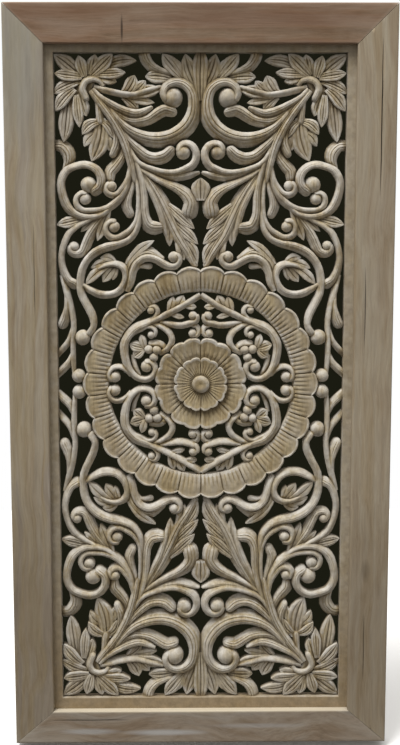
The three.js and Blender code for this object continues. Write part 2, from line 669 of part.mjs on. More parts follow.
const panel = new THREE.Group();
const shapes = { ...frameMembers(), carved_board: faceOut(carvedBoard()) };
for (const [name, geometry] of Object.entries(shapes)) {
  const mesh = new THREE.Mesh(geometry, FINISH[name]);
  mesh.name = name;
  panel.add(mesh);
}

export default panel;
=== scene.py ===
# %% [markdown]
# # A carved openwork wall panel
#
# The panel is one pale hardwood board, sawn through and carved into scrolls, leaf sprays and a flower in a
# scalloped ring. A plain frame of four mitred members holds it.
# The construction is already settled: five solids at full size. This lesson loads them as a fixed frame,
# models the fine carving and the worn timber around them, and gives each its finish.

# %% Load the frame
import json
import math

import bmesh
import bpy
import numpy as np
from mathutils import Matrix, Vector, noise
from mathutils.bvhtree import BVHTree

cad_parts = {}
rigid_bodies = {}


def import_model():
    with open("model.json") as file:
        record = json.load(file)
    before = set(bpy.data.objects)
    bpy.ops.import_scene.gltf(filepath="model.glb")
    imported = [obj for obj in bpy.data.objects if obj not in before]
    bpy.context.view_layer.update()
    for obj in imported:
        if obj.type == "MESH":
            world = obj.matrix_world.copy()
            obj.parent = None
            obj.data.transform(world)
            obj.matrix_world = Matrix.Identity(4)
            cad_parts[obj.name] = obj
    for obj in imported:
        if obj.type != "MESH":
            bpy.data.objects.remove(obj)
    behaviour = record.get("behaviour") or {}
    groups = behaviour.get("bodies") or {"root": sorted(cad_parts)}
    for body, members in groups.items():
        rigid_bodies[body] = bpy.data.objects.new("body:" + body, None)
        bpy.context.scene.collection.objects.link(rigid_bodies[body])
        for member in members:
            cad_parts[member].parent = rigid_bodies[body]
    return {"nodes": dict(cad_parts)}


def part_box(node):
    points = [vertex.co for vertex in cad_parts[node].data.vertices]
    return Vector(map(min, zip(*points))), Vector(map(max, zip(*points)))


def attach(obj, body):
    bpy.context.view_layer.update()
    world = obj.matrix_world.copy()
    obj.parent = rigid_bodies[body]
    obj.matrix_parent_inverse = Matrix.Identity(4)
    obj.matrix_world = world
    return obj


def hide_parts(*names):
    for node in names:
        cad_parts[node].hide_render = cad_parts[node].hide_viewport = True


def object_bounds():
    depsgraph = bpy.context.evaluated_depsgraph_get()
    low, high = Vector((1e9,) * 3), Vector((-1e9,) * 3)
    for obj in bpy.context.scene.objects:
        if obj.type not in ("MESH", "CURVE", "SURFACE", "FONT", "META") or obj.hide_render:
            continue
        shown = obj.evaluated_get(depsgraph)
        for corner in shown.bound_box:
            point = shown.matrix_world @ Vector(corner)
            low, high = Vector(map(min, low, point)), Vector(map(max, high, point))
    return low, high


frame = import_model()
cad_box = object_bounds()
MM = 0.001
print("nodes", sorted(frame["nodes"]), "box", [tuple(round(c, 4) for c in corner) for corner in cad_box])

# %% [markdown]
# ## Camera
#
# A tall flat object is easiest to judge from in front. The camera stands two metres away, a little above the
# middle of the panel, and looks slightly down, so that the tops of the carved edges show.

# %% Camera
EYE = (-0.0259, -2.0631, -0.2659)       # metres, seen from the middle of the top rail's back
LOOK = (82.149, 0.021, -0.698)          # degrees of turn about X, Y and Z
LENS = 61.7

scene = bpy.context.scene


def in_scene(name, data):
    """A new object with this data, linked to the scene."""
    thing = bpy.data.objects.new(name, data)
    scene.collection.objects.link(thing)
    return thing


camera_data = bpy.data.cameras.new("camera")
camera_data.sensor_width = 36
camera_data.lens = LENS
camera = in_scene("camera", camera_data)
camera.location = EYE
camera.rotation_euler = [math.radians(angle) for angle in LOOK]
scene.camera = camera
scene.view_settings.view_transform = "Standard"
print("camera", LENS, "mm lens at", EYE)

# %% [markdown]
# ## Two small helpers
#
# Every material and every Geometry Nodes tree is built from nodes. One function adds a node, sets it up and
# links it, so the recipes below read as a list of steps. Colours are picked as sRGB hex values, as on a paint
# chart, and one function turns them to the linear values that shading needs.

# %% Helpers for nodes and colours
def add(tree, kind, inputs=None, stops=None, **settings):
    """Adds a node: settings are its properties, inputs its sockets, stops the colours of its ramp.
    An input is a value, a socket, or a node whose first output in use is meant."""
    node = tree.nodes.new(kind)
    for name, value in settings.items():
        setattr(node, name, value)
    for socket, value in (inputs or {}).items():
        if isinstance(value, bpy.types.Node):
            value = next(output for output in value.outputs if output.enabled)
        if isinstance(value, bpy.types.NodeSocket):
            tree.links.new(value, node.inputs[socket])
        else:
            node.inputs[socket].default_value = value
    for index, (position, colour) in enumerate(stops or []):
        elements = node.color_ramp.elements
        element = elements[index] if index < len(elements) else elements.new(position)
        element.position = position
        element.color = colour
    return node


def linear(colour):
    """Linear RGBA of an sRGB hex value such as "#c8b89a"."""
    channels = [int(colour[i:i + 2], 16) / 255 for i in (1, 3, 5)]
    return [c / 12.92 if c <= 0.04045 else ((c + 0.055) / 1.055) ** 2.4 for c in channels] + [1.0]


print("mid grey", [round(c, 3) for c in linear("#808080")])

# %% [markdown]
# ## Light and stage
#
# The carving is read through soft light from above: every upper edge catches it and every hollow keeps a
# shadow. A bright overhead sky with a dimmer horizon does most of it, and one large soft box adds direction.
# A plain pale floor lies under the panel. A dark card just behind the openings stands for the unlit space
# there. It has one face only, so it hides nothing of the panel's back.

# %% Sky
SKY = [(0.0, "#35322f"), (0.42, "#7a7671"), (0.55, "#aeaba7"), (0.75, "#d6d4d1"), (1.0, "#ffffff")]
SKY_STRENGTH = 1.05

world = bpy.data.worlds.new("studio")
world.use_nodes = True
sky = world.node_tree
sky.nodes.clear()
up = add(sky, "ShaderNodeSeparateXYZ", {"Vector": add(sky, "ShaderNodeTexCoord").outputs["Generated"]})
height = add(sky, "ShaderNodeMath", {0: up.outputs["Z"], 1: 0.5, 2: 0.5}, operation="MULTIPLY_ADD")
dome = add(sky, "ShaderNodeValToRGB", {"Fac": height}, stops=[(p, linear(c)) for p, c in SKY])
lit = add(sky, "ShaderNodeBackground", {"Color": dome, "Strength": SKY_STRENGTH})
plain = add(sky, "ShaderNodeBackground", {"Color": (1, 1, 1, 1), "Strength": 1.0})
seen = add(sky, "ShaderNodeLightPath").outputs["Is Camera Ray"]
add(sky, "ShaderNodeOutputWorld",
    {"Surface": add(sky, "ShaderNodeMixShader", {0: seen, 1: lit, 2: plain})})
scene.world = world
print("sky from", SKY[0][1], "below to", SKY[-1][1], "above, strength", SKY_STRENGTH)

# %% Soft box
BOX_PLACE = Vector((-1.5, -2.0, 5.4))   # metres from the middle of the panel
BOX_SIDE, BOX_WATTS = 2.0, 350

panel_middle = (cad_box[0] + cad_box[1]) / 2
lamp = bpy.data.lights.new("soft_box", "AREA")
lamp.size, lamp.energy = BOX_SIDE, BOX_WATTS
soft_box = in_scene("soft_box", lamp)
soft_box.location = panel_middle + BOX_PLACE
soft_box.rotation_euler = (panel_middle - soft_box.location).to_track_quat("-Z", "Y").to_euler()
print("soft box", BOX_SIDE, "m wide,", BOX_WATTS, "watts")


# %% Floor and dark card
FLOOR_REACH, FLOOR_DROP = 1.6, 10 * MM  # half of the floor's side, and how far below the panel it lies
CARD_Y = 12 * MM                        # how far behind the panel's back the card stands


def corners(low, high):
    """The four corners of a rectangle, in order, from its lowest and highest."""
    return [(low[0], low[1]), (high[0], low[1]), (high[0], high[1]), (low[0], high[1])]


def new_material(name):
    """A material whose node tree is empty."""
    material = bpy.data.materials.new(name)
    material.use_nodes = True
    material.node_tree.nodes.clear()
    return material


def stage_sheet(name, points, material):
    """A flat four-cornered sheet that isn't part of the object."""
    mesh = bpy.data.meshes.new(name)
    mesh.from_pydata(points, [], [(0, 1, 2, 3)])
    mesh.materials.append(material)
    sheet = in_scene(name, mesh)
    return sheet


floor_paint = new_material("pale_floor_paint")
tree = floor_paint.node_tree
matt = add(tree, "ShaderNodeBsdfPrincipled", {"Base Color": linear("#faf9f7"), "Roughness": 0.9})
add(tree, "ShaderNodeOutputMaterial", {"Surface": matt})
floor_z = cad_box[0].z - FLOOR_DROP
floor = stage_sheet("floor", [(x, y, floor_z) for x, y in corners([-FLOOR_REACH] * 2, [FLOOR_REACH] * 2)],
                    floor_paint)
floor.visible_diffuse = False           # its bounce would wash out the undersides

shade = new_material("dark_card")
tree = shade.node_tree
front = add(tree, "ShaderNodeEmission", {"Color": linear("#1b1b12"), "Strength": 1.0})
away = add(tree, "ShaderNodeNewGeometry").outputs["Backfacing"]
clear = add(tree, "ShaderNodeBsdfTransparent")
one_sided = add(tree, "ShaderNodeMixShader", {0: away, 1: front, 2: clear})
add(tree, "ShaderNodeOutputMaterial", {"Surface": one_sided})
board_low, board_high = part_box("carved_board")
card = stage_sheet("dark_card", [(x, CARD_Y, z) for x, z in corners(board_low.xz, board_high.xz)], shade)
for kind in ("diffuse", "glossy", "transmission", "shadow"):
    setattr(card, "visible_" + kind, False)
print("floor at", round(floor_z, 4), "card at", CARD_Y)

# %% [markdown]
# ## The drawing of the ornament
#
# The same quarter repeats four times, mirrored across both middle lines, so one quarter is drawn. A scroll is
# a centre line with a half width at each point, and most scrolls end in a volute that winds round a ball.
# A petal needs only its base, its tip, its half width and a bend. All distances are millimetres from the
# middle of the flower: across, then up. A level says how far a strand lies below the boldest ones.

# %% Ornament of one quarter
# A scroll: name, points of [across, up, half width], the volute it ends in as [eye across, eye up, sweep in
# degrees, end radius, end half width, ball radius], then its level.
SCROLLS = [
    ["great_scroll", [[147, 442, 4], [131, 420, 6], [112, 402, 9], [90, 392, 11], [66, 389, 12],
     [42, 394.5, 12.5], [22, 409, 13], [11.2, 427, 12.4], [9.2, 450, 9.8]], [44, 455, -200, 12, 5, 16], 0],
    ["flare_low", [[166, 463, 4], [152, 446, 5], [134, 428, 7], [112, 417, 8], [84, 420, 8], [57, 435, 9],
     [45, 433, 8]], [], 2],
    ["flare_top", [[170, 467, 4], [158, 454, 5], [138, 441, 7], [118, 432, 8], [100, 429, 8],
     [78, 439, 3]], [], 0],
    ["branch", [[168, 470, 5], [128, 461, 5], [105, 459, 5], [85, 464, 5], [64, 470, 4]], [], 1],
    ["drop_stem", [[170, 468, 5], [161, 452, 6], [157, 418, 7]], [], 2],
    ["trunk", [[172, 466, 6], [151, 440, 8], [139, 424, 8], [126, 403, 9], [118, 386, 9], [112, 366, 8],
     [107, 345, 7], [103, 325, 5]], [], 0],
    ["frond_short", [[136, 412, 5], [131, 396, 8], [131, 383, 9], [138, 367, 6]], [], 2],
    ["frond_blunt", [[121, 390, 5], [123, 368, 7], [133, 352, 9], [143, 340, 9.5], [144, 330, 8]], [], 3],
    ["side_volute", [[138, 287, 3], [156, 272, 4], [178, 267, 6], [198, 272, 6], [213, 286, 7],
     [222, 322, 6], [213, 341, 6], [199, 348, 5.5]], [178, 319, 170, 14.5, 8, 13], 0],
    ["hook_near", [[113, 378, 4], [108, 360, 5], [110, 342, 6], [115, 325, 6],
     [124, 311, 6]], [141.5, 317, 200, 6, 4, 8.5], 1],
    ["hook_far", [[110, 356, 4], [112, 338, 4.5], [117, 314, 5], [127, 298, 6], [142, 285, 6],
     [160, 278, 6], [177, 278, 5]], [184, 297, 200, 9, 4, 9.5], 1],
    ["edge_curl", [[234, 381, 8], [219, 380, 10], [209, 369, 11], [208, 357, 9], [214, 344, 5]], [], 3],
    ["swell", [[128, 410, 4], [116, 390, 6.5], [98, 371, 9.5], [84, 362, 10], [70, 360, 10], [57, 364, 10],
     [48, 372, 8.5]], [], 1],
    ["second_scroll", [[114, 379, 4], [106, 362, 4.5], [96, 351, 5], [80, 344, 5], [60, 338, 5.5],
     [40, 337, 6], [23, 343, 6.5]], [27.5, 370, -230, 8, 5, 11.5], 0],
    ["tongue", [[111, 370, 3.5], [104, 357, 3.5], [94, 348, 4], [80, 341, 5], [60, 333, 6], [40, 330, 6],
     [20, 333, 6], [4, 338, 3]], [], 2],
    ["club", [[108, 362, 3.5], [101, 350, 3.5], [90, 341, 4], [74, 331, 5], [54, 321, 6], [36, 313, 8],
     [22, 303, 10.5], [15, 291, 12], [17, 277, 13]], [], 1],
    ["acanthus_rib", [[107, 362, 4], [98, 350, 5], [86, 334, 6], [66, 303, 9], [50, 272, 12], [34, 238, 12],
     [18, 212, 9], [9, 192, 5]], [], 2],
    ["acanthus_side", [[103, 350, 4], [93, 334, 4.5], [67, 288, 7], [53, 240, 5]], [], 1],
    ["crook", [[107, 364, 4], [101, 350, 4.5], [94, 326, 5.5], [91, 300, 7.5], [91, 280, 8], [89, 266, 9],
     [82.5, 254, 10.3], [73, 250.5, 10.8], [66, 251, 9]], [], 0],
    ["frond_mid", [[107, 352, 3], [106, 334, 4], [109, 318, 5], [116, 300, 7], [118, 285, 8],
     [113, 273, 7]], [], 3],
    ["hook_low", [[102, 336, 3], [99, 316, 4], [98, 290, 4.5], [100, 266, 5], [109, 249, 6],
     [122, 240, 6]], [138, 253, 230, 9, 4, 9], 1],
    ["long_tendril", [[138, 288, 4], [180, 264, 5], [198, 254, 5], [212, 240, 5], [223, 202, 5],
     [213, 168, 7], [203, 161, 8]], [], 1],
    ["s_scroll", [[95, 286, 4], [97, 266, 4.5], [102, 247, 4.5], [113, 233, 5], [131, 225, 6],
     [150, 221, 7], [168, 213, 7], [182, 200, 6], [190, 184, 6], [193, 165, 6], [191, 146, 6],
     [174, 110, 6], [172, 95, 5], [178, 83, 6]], [], 0],
    ["loop", [[190, 160, 4], [165, 146, 6], [150, 144, 6], [135, 148, 6], [124, 159, 6], [119, 174, 6],
     [123, 187, 6], [135, 194, 5], [150, 193, 4], [163, 187, 3]], [], 0],
    ["wave", [[118, 150, 4], [112, 164, 6], [109, 178, 6], [102, 194, 6], [90, 203, 6], [77, 203, 6],
     [52, 190, 6]], [43, 205, -170, 6, 3, 9], 0],
    ["wave_leaf", [[120, 172, 4], [114, 194, 8], [101, 208, 9], [85, 214, 9], [61, 203, 3]], [], 2],
    ["wave_curl", [[108, 176, 3], [99, 190, 4], [82, 190, 5]], [], 3],
    ["edge_stem", [[223, 176, 3], [215, 150, 5], [205, 105, 4], [206, 55, 4], [204, 12, 3]], [], 2],
    ["edge_leaf_1", [[216, 148, 3], [214, 125, 5], [218, 106, 8], [222, 97, 8]], [], 1],
    ["edge_leaf_2", [[206, 92, 3], [212, 70, 5], [232, 47, 5]], [], 2],
    ["edge_leaf_3", [[206, 52, 3], [212, 35, 6], [232, 15, 6]], [], 2],
    ["leaf_scroll", [[148, 277, 4], [165, 256, 8], [177, 238, 8],
     [184, 222, 8]], [203, 222, 170, 6, 4, 8], 2],
    ["crest_band", [[40, 490, 4], [62, 495, 6], [78, 503, 8], [87, 516, 9], [89, 528, 9]], [], 2],
    ["collar", [[152, 473, 5], [158, 481, 5], [169, 484, 6], [181, 479, 6], [186, 468, 6],
     [181, 453, 6]], [], 0],
    ["arm", [[0, 144, 5], [27, 127, 5], [60, 109, 5], [96, 92, 4]], [], 1],
    ["arm_low", [[66, 99, 3], [48, 96, 5], [30, 95, 5], [15, 99, 5]], [12, 111, -100, 7, 3, 7], 1],
    ["bud_link", [[16, 96, 3], [6, 93, 4]], [13, 82, 90, 7, 3, 7], 2],
    ["inner_volute", [[74, 104, 5], [90, 98, 6], [106, 91, 7], [118, 78, 7], [124, 62, 7], [118, 28, 6],
     [108, 14, 5]], [88, 28, -230, 8, 4, 9], 0],
    ["inner_bud", [[82, 100, 3], [71, 110, 4]], [80, 119, -150, 6, 3, 6], 2],
    ["inner_loop", [[78, 98, 3], [62, 93, 5], [51, 84, 5], [46, 72, 5], [50, 60, 5], [64, 50, 4]], [], 1],
    ["inner_curl", [[120, 70, 3], [109, 83, 4], [96, 89, 4]], [80, 79, 150, 6, 3, 6], 2],
    ["berry_arc", [[56, 58, 4], [66, 65, 5], [80, 65, 5]], [], 1],
    ["inner_strand", [[110, 46, 3], [107, 30, 4], [101, 14, 4]], [], 3],
    ["inner_tie", [[112, 14, 4], [121, 23, 4], [131, 28, 4], [141, 27, 4]], [139, 11, -110, 8, 4, 9], 1],
]

# A petal or leaf lobe: from across, up, to its tip across, up, then half width, bend and level.
PETALS = [
    [120, 461, 103.5, 489, 12, 3, 3], [107, 462, 86, 480.5, 9, 2, 3], [116, 458, 60.5, 468, 10, -1, 3],
    [121, 456, 99, 436, 9, -2, 4], [112, 453, 73, 447, 6, 0, 4], [157, 424, 172, 356, 15, -6, 2],
    [160, 418, 187, 398, 9, 5, 2], [162, 402, 184, 379, 8, 4, 3], [155, 418, 138, 393, 9, -5, 2],
    [156, 400, 144, 373, 8, -4, 3], [52, 287, 10, 249, 9, 0, 3], [46, 264, 4, 225, 9, 0, 3],
    [34, 238, 5, 194, 11, -3, 3], [50, 264, 50, 222, 7, 0, 3], [38, 236, 26, 200, 8, 0, 3],
    [118, 192, 74, 231, 7, -5, 2], [136, 196, 161, 204, 6.5, 4, 3], [140, 195, 176, 187, 7, 4, 3],
    [134, 190, 141, 168, 5, 0, 3], [138, 190, 157, 165, 8, 0, 3], [148, 191, 184, 161, 8, 3, 2],
    [186, 266, 229, 256, 9, 0, 2], [146, 280, 165, 231, 8, 0, 3], [158, 274, 191, 245, 6, 0, 3],
    [5, 468, 24, 522, 13, -3, 3], [30, 486, 60, 522, 11.5, 0, 2], [29, 484, 41, 515, 8, 0, 3],
    [46, 484, 87, 487, 11, 2, 3], [172, 488, 138, 522, 11.5, 0, 1], [172, 488, 165, 521, 10, 0, 2],
    [182, 486, 191, 519, 9.5, 0, 1], [186, 486, 230, 521, 12, 2, 2], [186, 486, 229, 492, 9.5, 0, 1],
    [190, 480, 232, 461, 9.5, 3, 2], [198, 468, 228, 434, 10.5, 3, 1], [207, 458, 216, 386, 12, 0, 3],
    [195, 458, 191, 409, 8.5, 0, 1], [190, 460, 180, 426, 9.5, 0, 2], [165, 490, 118, 494, 8.5, 0, 1],
    [160, 486, 132, 480, 7.5, 0, 2], [155, 499, 101, 512, 9.5, -6, 3], [172, 500, 212, 452, 23, 0, 3.4],
    [158, 415, 162, 384, 14, 0, 3.6], [38, 122, 27, 143, 8, 0, 3], [50, 113, 43.5, 141, 7, 0, 3],
    [24, 126, 6, 125, 5, 0, 3], [47, 112, 26, 108, 4, 0, 3], [90, 58, 97, 80, 6, 0, 2],
    [92, 57, 115, 64, 8.5, 0, 2], [92.5, 56, 109, 43, 8.5, 0, 2],
]
AXIS_PETALS = [[0, 450, 0, 537, 12.5, 0, 2], [0, 294, 0, 330, 15, 0, 3]]

# Balls and berries that no scroll ends in: across, up, radius, level.
BALLS = [[190, 75, 12.5, 0], [197, 13, 11, 0], [71, 55, 7.2, 0], [84, 56, 7, 0], [76, 43, 7.2, 0]]

print(len(SCROLLS), "scrolls,", len(PETALS) + len(AXIS_PETALS), "petals,", len(BALLS), "loose balls")

# %% Where the ornament sits in the board
BOARD_FRONT = -23.0         # flat margin of the board
BOARD_BACK = -3.0
DRAWN_TOP = 523.7           # height above the middle that the quarter is drawn for
SIDE_MARGIN = 23.5          # board left whole at each side, most of it under the frame's lip
TOP_MARGIN = 21.3
BOTTOM_MARGIN = 27.9

low_x, low_z = board_low.x / MM, board_low.z / MM
high_x, high_z = board_high.x / MM, board_high.z / MM
left, right = low_x + SIDE_MARGIN, high_x - SIDE_MARGIN
bottom, top = low_z + BOTTOM_MARGIN, high_z - TOP_MARGIN
middle_z = top - DRAWN_TOP
print(f"opening {right - left:.1f} by {top - bottom:.1f} mm, middle at {middle_z:.1f}")

# %% [markdown]
# ## From rings of points to a solid
#
# Strands, petals, balls and rails are all the same kind of shape: a row of outlines joined by a skin. Making
# every one closed and facing outwards matters here, because the pieces of the carving are joined into one
# solid afterwards, and a boolean join needs to know inside from outside.

# %% Loft
def loft(rings, closed=False):
    """Skins rings of points, all of one count. Gives points and triangles that face outwards."""
    rings = np.asarray(rings, float)
    steps, count = rings.shape[:2]
    rows = np.arange(steps if closed else steps - 1)[:, None]
    ring = np.arange(count)
    near, far = rows * count, (rows + 1) % steps * count
    a, b = near + ring, near + np.roll(ring, -1)
    c, d = far + np.roll(ring, -1), far + ring
    faces = [np.stack([a, b, c], 2).reshape(-1, 3), np.stack([a, c, d], 2).reshape(-1, 3)]
    if not closed:
        fan = np.arange(1, count - 1)
        start, end = np.zeros_like(fan), np.full_like(fan, (steps - 1) * count)
        faces += [np.stack([start, fan + 1, fan], 1), np.stack([end, end + fan, end + fan + 1], 1)]
    points, faces = rings.reshape(-1, 3), np.concatenate(faces)
    corners = points[faces]
    volume = np.einsum("ij,ij->i", corners[:, 0], np.cross(corners[:, 1], corners[:, 2])).sum()
    return points, faces if volume > 0 else faces[:, ::-1]


def down_to_back(top_line):
    """An outline across a strand or petal: its carved top, and straight sides down to the board's back."""
    foot = top_line[[-1, 0]]
    foot[:, 1] = BOARD_BACK
    return np.vstack([top_line, foot])


def turned(profile, sides, u, v):
    """A round solid about (u, v), lofted from rows of (radius, depth)."""
    turn = np.linspace(0, 2 * math.pi, sides, endpoint=False)
    return loft([np.column_stack([u + r * np.cos(turn), np.full(sides, y), v + r * np.sin(turn)])
                 for r, y in profile])


def mesh_of(name, points, faces):
    """A Blender mesh, in metres, from points in millimetres."""
    mesh = bpy.data.meshes.new(name)
    mesh.from_pydata((np.asarray(points) * MM).tolist(), [], np.asarray(faces).tolist())
    return mesh


print("a turned disc has", len(turned([(1, 0), (1, 1)], 12, 0, 0)[1]), "triangles")

# %% [markdown]
# ## Centre lines
#
# A carver draws a scroll as one sweep, so the points are joined by a smooth curve. A volute is a spiral that
# closes in on its eye. Stations along the curve come closer where it turns hard and further apart where it
# runs straight, so the round places are smooth and the straight ones stay light.

# %% Centre lines
CURVE_STEPS = 14            # fine steps between two drawn points
LONG_STEP = 17              # millimetres between stations on a straight run
TURN_STEP = 20.5            # degrees of turn between stations
VOLUTE_STEP = 30            # degrees between the points that lead round an eye


def with_volute(points, volute):
    """The drawn points with those of the spiral round the eye after them."""
    line = [list(point) for point in points]
    if volute:
        eye_u, eye_v, sweep, end_radius, end_half = volute[:5]
        u, v, half = line[-1]
        angle, radius = math.atan2(v - eye_v, u - eye_u), math.hypot(u - eye_u, v - eye_v)
        for t in np.linspace(0, 1, round(abs(sweep) / VOLUTE_STEP) + 1)[1:]:
            a, r = angle + math.radians(sweep) * t, radius + (end_radius - radius) * t
            line.append([eye_u + r * math.cos(a), eye_v + r * math.sin(a), half + (end_half - half) * t])
    return np.array(line, float)


def smooth(points):
    """A centripetal Catmull-Rom curve through the points, in fine steps."""
    padded = np.vstack([2 * points[0] - points[1], points, 2 * points[-1] - points[-2]])
    knots = np.concatenate([[0], np.cumsum(np.sqrt(np.hypot(*np.diff(padded[:, :2], axis=0).T)))])
    curve = []
    for i in range(len(points) - 1):
        p, k = padded[i:i + 4], knots[i:i + 4]
        for t in np.linspace(k[1], k[2], CURVE_STEPS, endpoint=False):
            a = [((k[j + 1] - t) * p[j] + (t - k[j]) * p[j + 1]) / (k[j + 1] - k[j]) for j in range(3)]
            b = [((k[j + 2] - t) * a[j] + (t - k[j]) * a[j + 1]) / (k[j + 2] - k[j]) for j in range(2)]
            curve.append(((k[2] - t) * b[0] + (t - k[1]) * b[1]) / (k[2] - k[1]))
    return np.array(curve + [points[-1]])


def stations(curve):
    """Fewer points along the curve, spread by length and by turn."""
    step = np.diff(curve[:, :2], axis=0)
    heading = np.unwrap(np.arctan2(step[:, 1], step[:, 0]))
    turn = np.abs(np.diff(heading, prepend=heading[0]))
    measure = np.cumsum(np.hypot(*step.T) / LONG_STEP + turn / math.radians(TURN_STEP))
    measure = np.concatenate([[0], measure])
    at = np.linspace(0, measure[-1], max(round(measure[-1]), 4) + 1)
    return np.column_stack([np.interp(at, measure, column) for column in curve.T])


# %% [markdown]
# ## The carved strand
#
# A strand is sawn straight down at its sides and rounded on top. Its crest lies towards the inner side of the
# bend, so the outer side is one long slope that stays in shadow. The wide ones are then reeded: a V tool cuts
# lines along the bend, which fade out where the strand narrows. A strand rises out of the one it grows from,
# and a thin one sinks back into it; a broad end is rounded over like a finger tip.

# %% Strand
CROWN = -22.4               # front of the boldest strands
LEVEL = 1.6                 # how much deeper each level of the carving lies
FALL_SHARE, FALL_MOST = 1.15, 13.5      # fall from crest to outer edge: a share of the half width, its limit
INNER_FALL = 0.6            # the inner edge falls less
INNER_END = 0.985           # how near to upright the inner edge gets: 1 is upright
CREST = 0.3                 # where the crest lies, on the way from the middle to the inner edge
SLOPE = 2.0                 # how the outer side bends over: 1 is a flat slope, more is rounder
GROOVE_MOST = 1.6           # depth of the V cuts on the widest strands
GROOVE_FROM, GROOVE_SHARE = 4.6, 0.42   # half width where the cuts begin, and how fast they deepen with it
START_SINK, START_RUN = 4.5, 15         # depth a strand rises from, and the length it takes
END_SINK, END_RUN, THIN_END = 4.0, 12, 5.2      # the same for an end that is thinner than this
TIP_TURNS = np.radians([28, 52, 70, 83])

# Across a strand from its outer side (-1) to its inner side (1), and how deep the V cuts reach there.
REEDED = [(-1, 0), (-.8, 0), (-.58, .1), (-.46, .55), (-.36, .05), (-.22, .05), (-.1, .9), (0, .1), (.14, 0),
          (.28, .1), (.38, 1), (.48, .1), (.68, 0), (.86, 0), (1, 0)]
LINED = [(-1, 0), (-.8, 0), (-.48, .05), (-.35, .6), (-.24, .05), (0, 0), (.16, .1), (.28, 1), (.4, .1),
         (.74, 0), (1, 0)]
PLAIN = [(-1, 0), (-.8, 0), (-.42, 0), (.05, 0), (.5, 0), (.82, 0), (1, 0)]
REEDED_FROM, LINED_FROM = 7.4, 5.3      # widest half width from which a strand has three or two cuts


def strand(points, volute, level):
    """Points and faces of one scroll."""
    line = stations(smooth(with_volute(points, volute)))
    u, v, half = line.T
    run = np.gradient(line[:, :2], axis=0)
    run /= np.linalg.norm(run, axis=1)[:, None]
    heading = np.unwrap(np.arctan2(run[:, 1], run[:, 0]))
    walked = np.concatenate([[0], np.cumsum(np.hypot(np.diff(u), np.diff(v)))])
    sink = START_SINK * np.exp(-walked / START_RUN)
    if not volute and half[-1] < THIN_END:
        sink += END_SINK * np.exp((walked - walked[-1]) / END_RUN)
    widest = half.max()
    section = np.array(REEDED if widest > REEDED_FROM else LINED if widest > LINED_FROM else PLAIN)
    bend = heading[-1] - heading[0]
    side = section[:, 0] * (1 if bend >= 0 else -1)
    outward = np.clip((CREST - section[:, 0]) / (1 + CREST), 0, 1) ** SLOPE
    inward = INNER_FALL * (1 - np.sqrt(1 - np.clip((section[:, 0] - CREST) / (1 - CREST), 0, INNER_END) ** 2))
    # the rounded tip goes on past the last station, narrowing and falling as it goes
    ahead = half[-1] * np.sin(TIP_TURNS)
    u = np.append(u, u[-1] + run[-1, 0] * ahead)
    v = np.append(v, v[-1] + run[-1, 1] * ahead)
    fall = np.minimum(half * FALL_SHARE, FALL_MOST)
    sink = np.append(sink, sink[-1] + fall[-1] * (1 - np.cos(TIP_TURNS)))
    fall = np.append(fall, fall[-1] * np.cos(TIP_TURNS))
    half = np.append(half, half[-1] * np.cos(TIP_TURNS))
    heading = np.append(heading, np.full(len(TIP_TURNS), heading[-1]))
    groove = np.clip((half - GROOVE_FROM) * GROOVE_SHARE, 0, GROOVE_MOST)
    across = np.column_stack([-np.sin(heading), np.cos(heading)])
    rings = []
    for i in range(len(u)):
        drop = fall[i] * (outward + inward) + groove[i] * section[:, 1]
        x = u[i] + across[i, 0] * half[i] * side
        z = v[i] + across[i, 1] * half[i] * side
        rings.append(down_to_back(np.column_stack([x, CROWN + level * LEVEL + sink[i] + drop, z])))
    return loft(rings)


points, faces = strand(*SCROLLS[0][1:])
print(SCROLLS[0][0], len(faces), "triangles")

# %% [markdown]
# ## Petals and balls
#
# A petal widens from its stalk and closes in a blunt point. A gouge hollows it on both sides of a middle
# vein, which leaves its two edges crisp, and the broad ones get a second pair of veins. A ball is rounded
# like half an apple and stands on the post left under it.

# %% Petals and balls
PETAL_STATIONS = np.array([0, .13, .28, .45, .6, .74, .87, .96, 1])
# Place across a petal, depth as a share of the hollow, and where a second pair of veins is cut.
NARROW_PETAL = [(-1, .5, 0), (-.86, .1, 0), (-.5, 0, 0), (-.12, .1, 0), (0, .5, 0), (.12, .1, 0),
                (.5, 0, 0), (.86, .1, 0), (1, .5, 0)]
BROAD_PETAL = [(-1, .5, 0), (-.87, .1, 0), (-.62, 0, 0), (-.47, .05, 1), (-.34, 0, 0), (-.12, .1, 0),
               (0, .5, 0), (.12, .1, 0), (.34, 0, 0), (.47, .05, 1), (.62, 0, 0), (.87, .1, 0), (1, .5, 0)]
PETAL_HOLLOW = 0.5          # depth of the hollow, as a share of a petal's half width
HOLLOW_MOST = 5             # millimetres
WIDEST_AT = 0.58            # how far along a petal is widest
POINTED, BLUNT_TIP = 0.85, 0.02         # less closes a petal more fully, and the width left at its tip
BASE_SINK, BASE_RUN = 2.5, 0.35         # how deep its base starts, and over what share of its length
TIP_SINK, TIP_RUN = 3.5, 0.5            # the same for its tip
SECOND_VEINS = 8.5          # half width from which a petal has the second pair
SECOND_DEPTH = 0.9
PETAL_BASE = 0.52           # half width where a petal starts, as a share of its widest
PETAL_TILT = 0.26           # how far its far edge is sunk, as a share of the half width


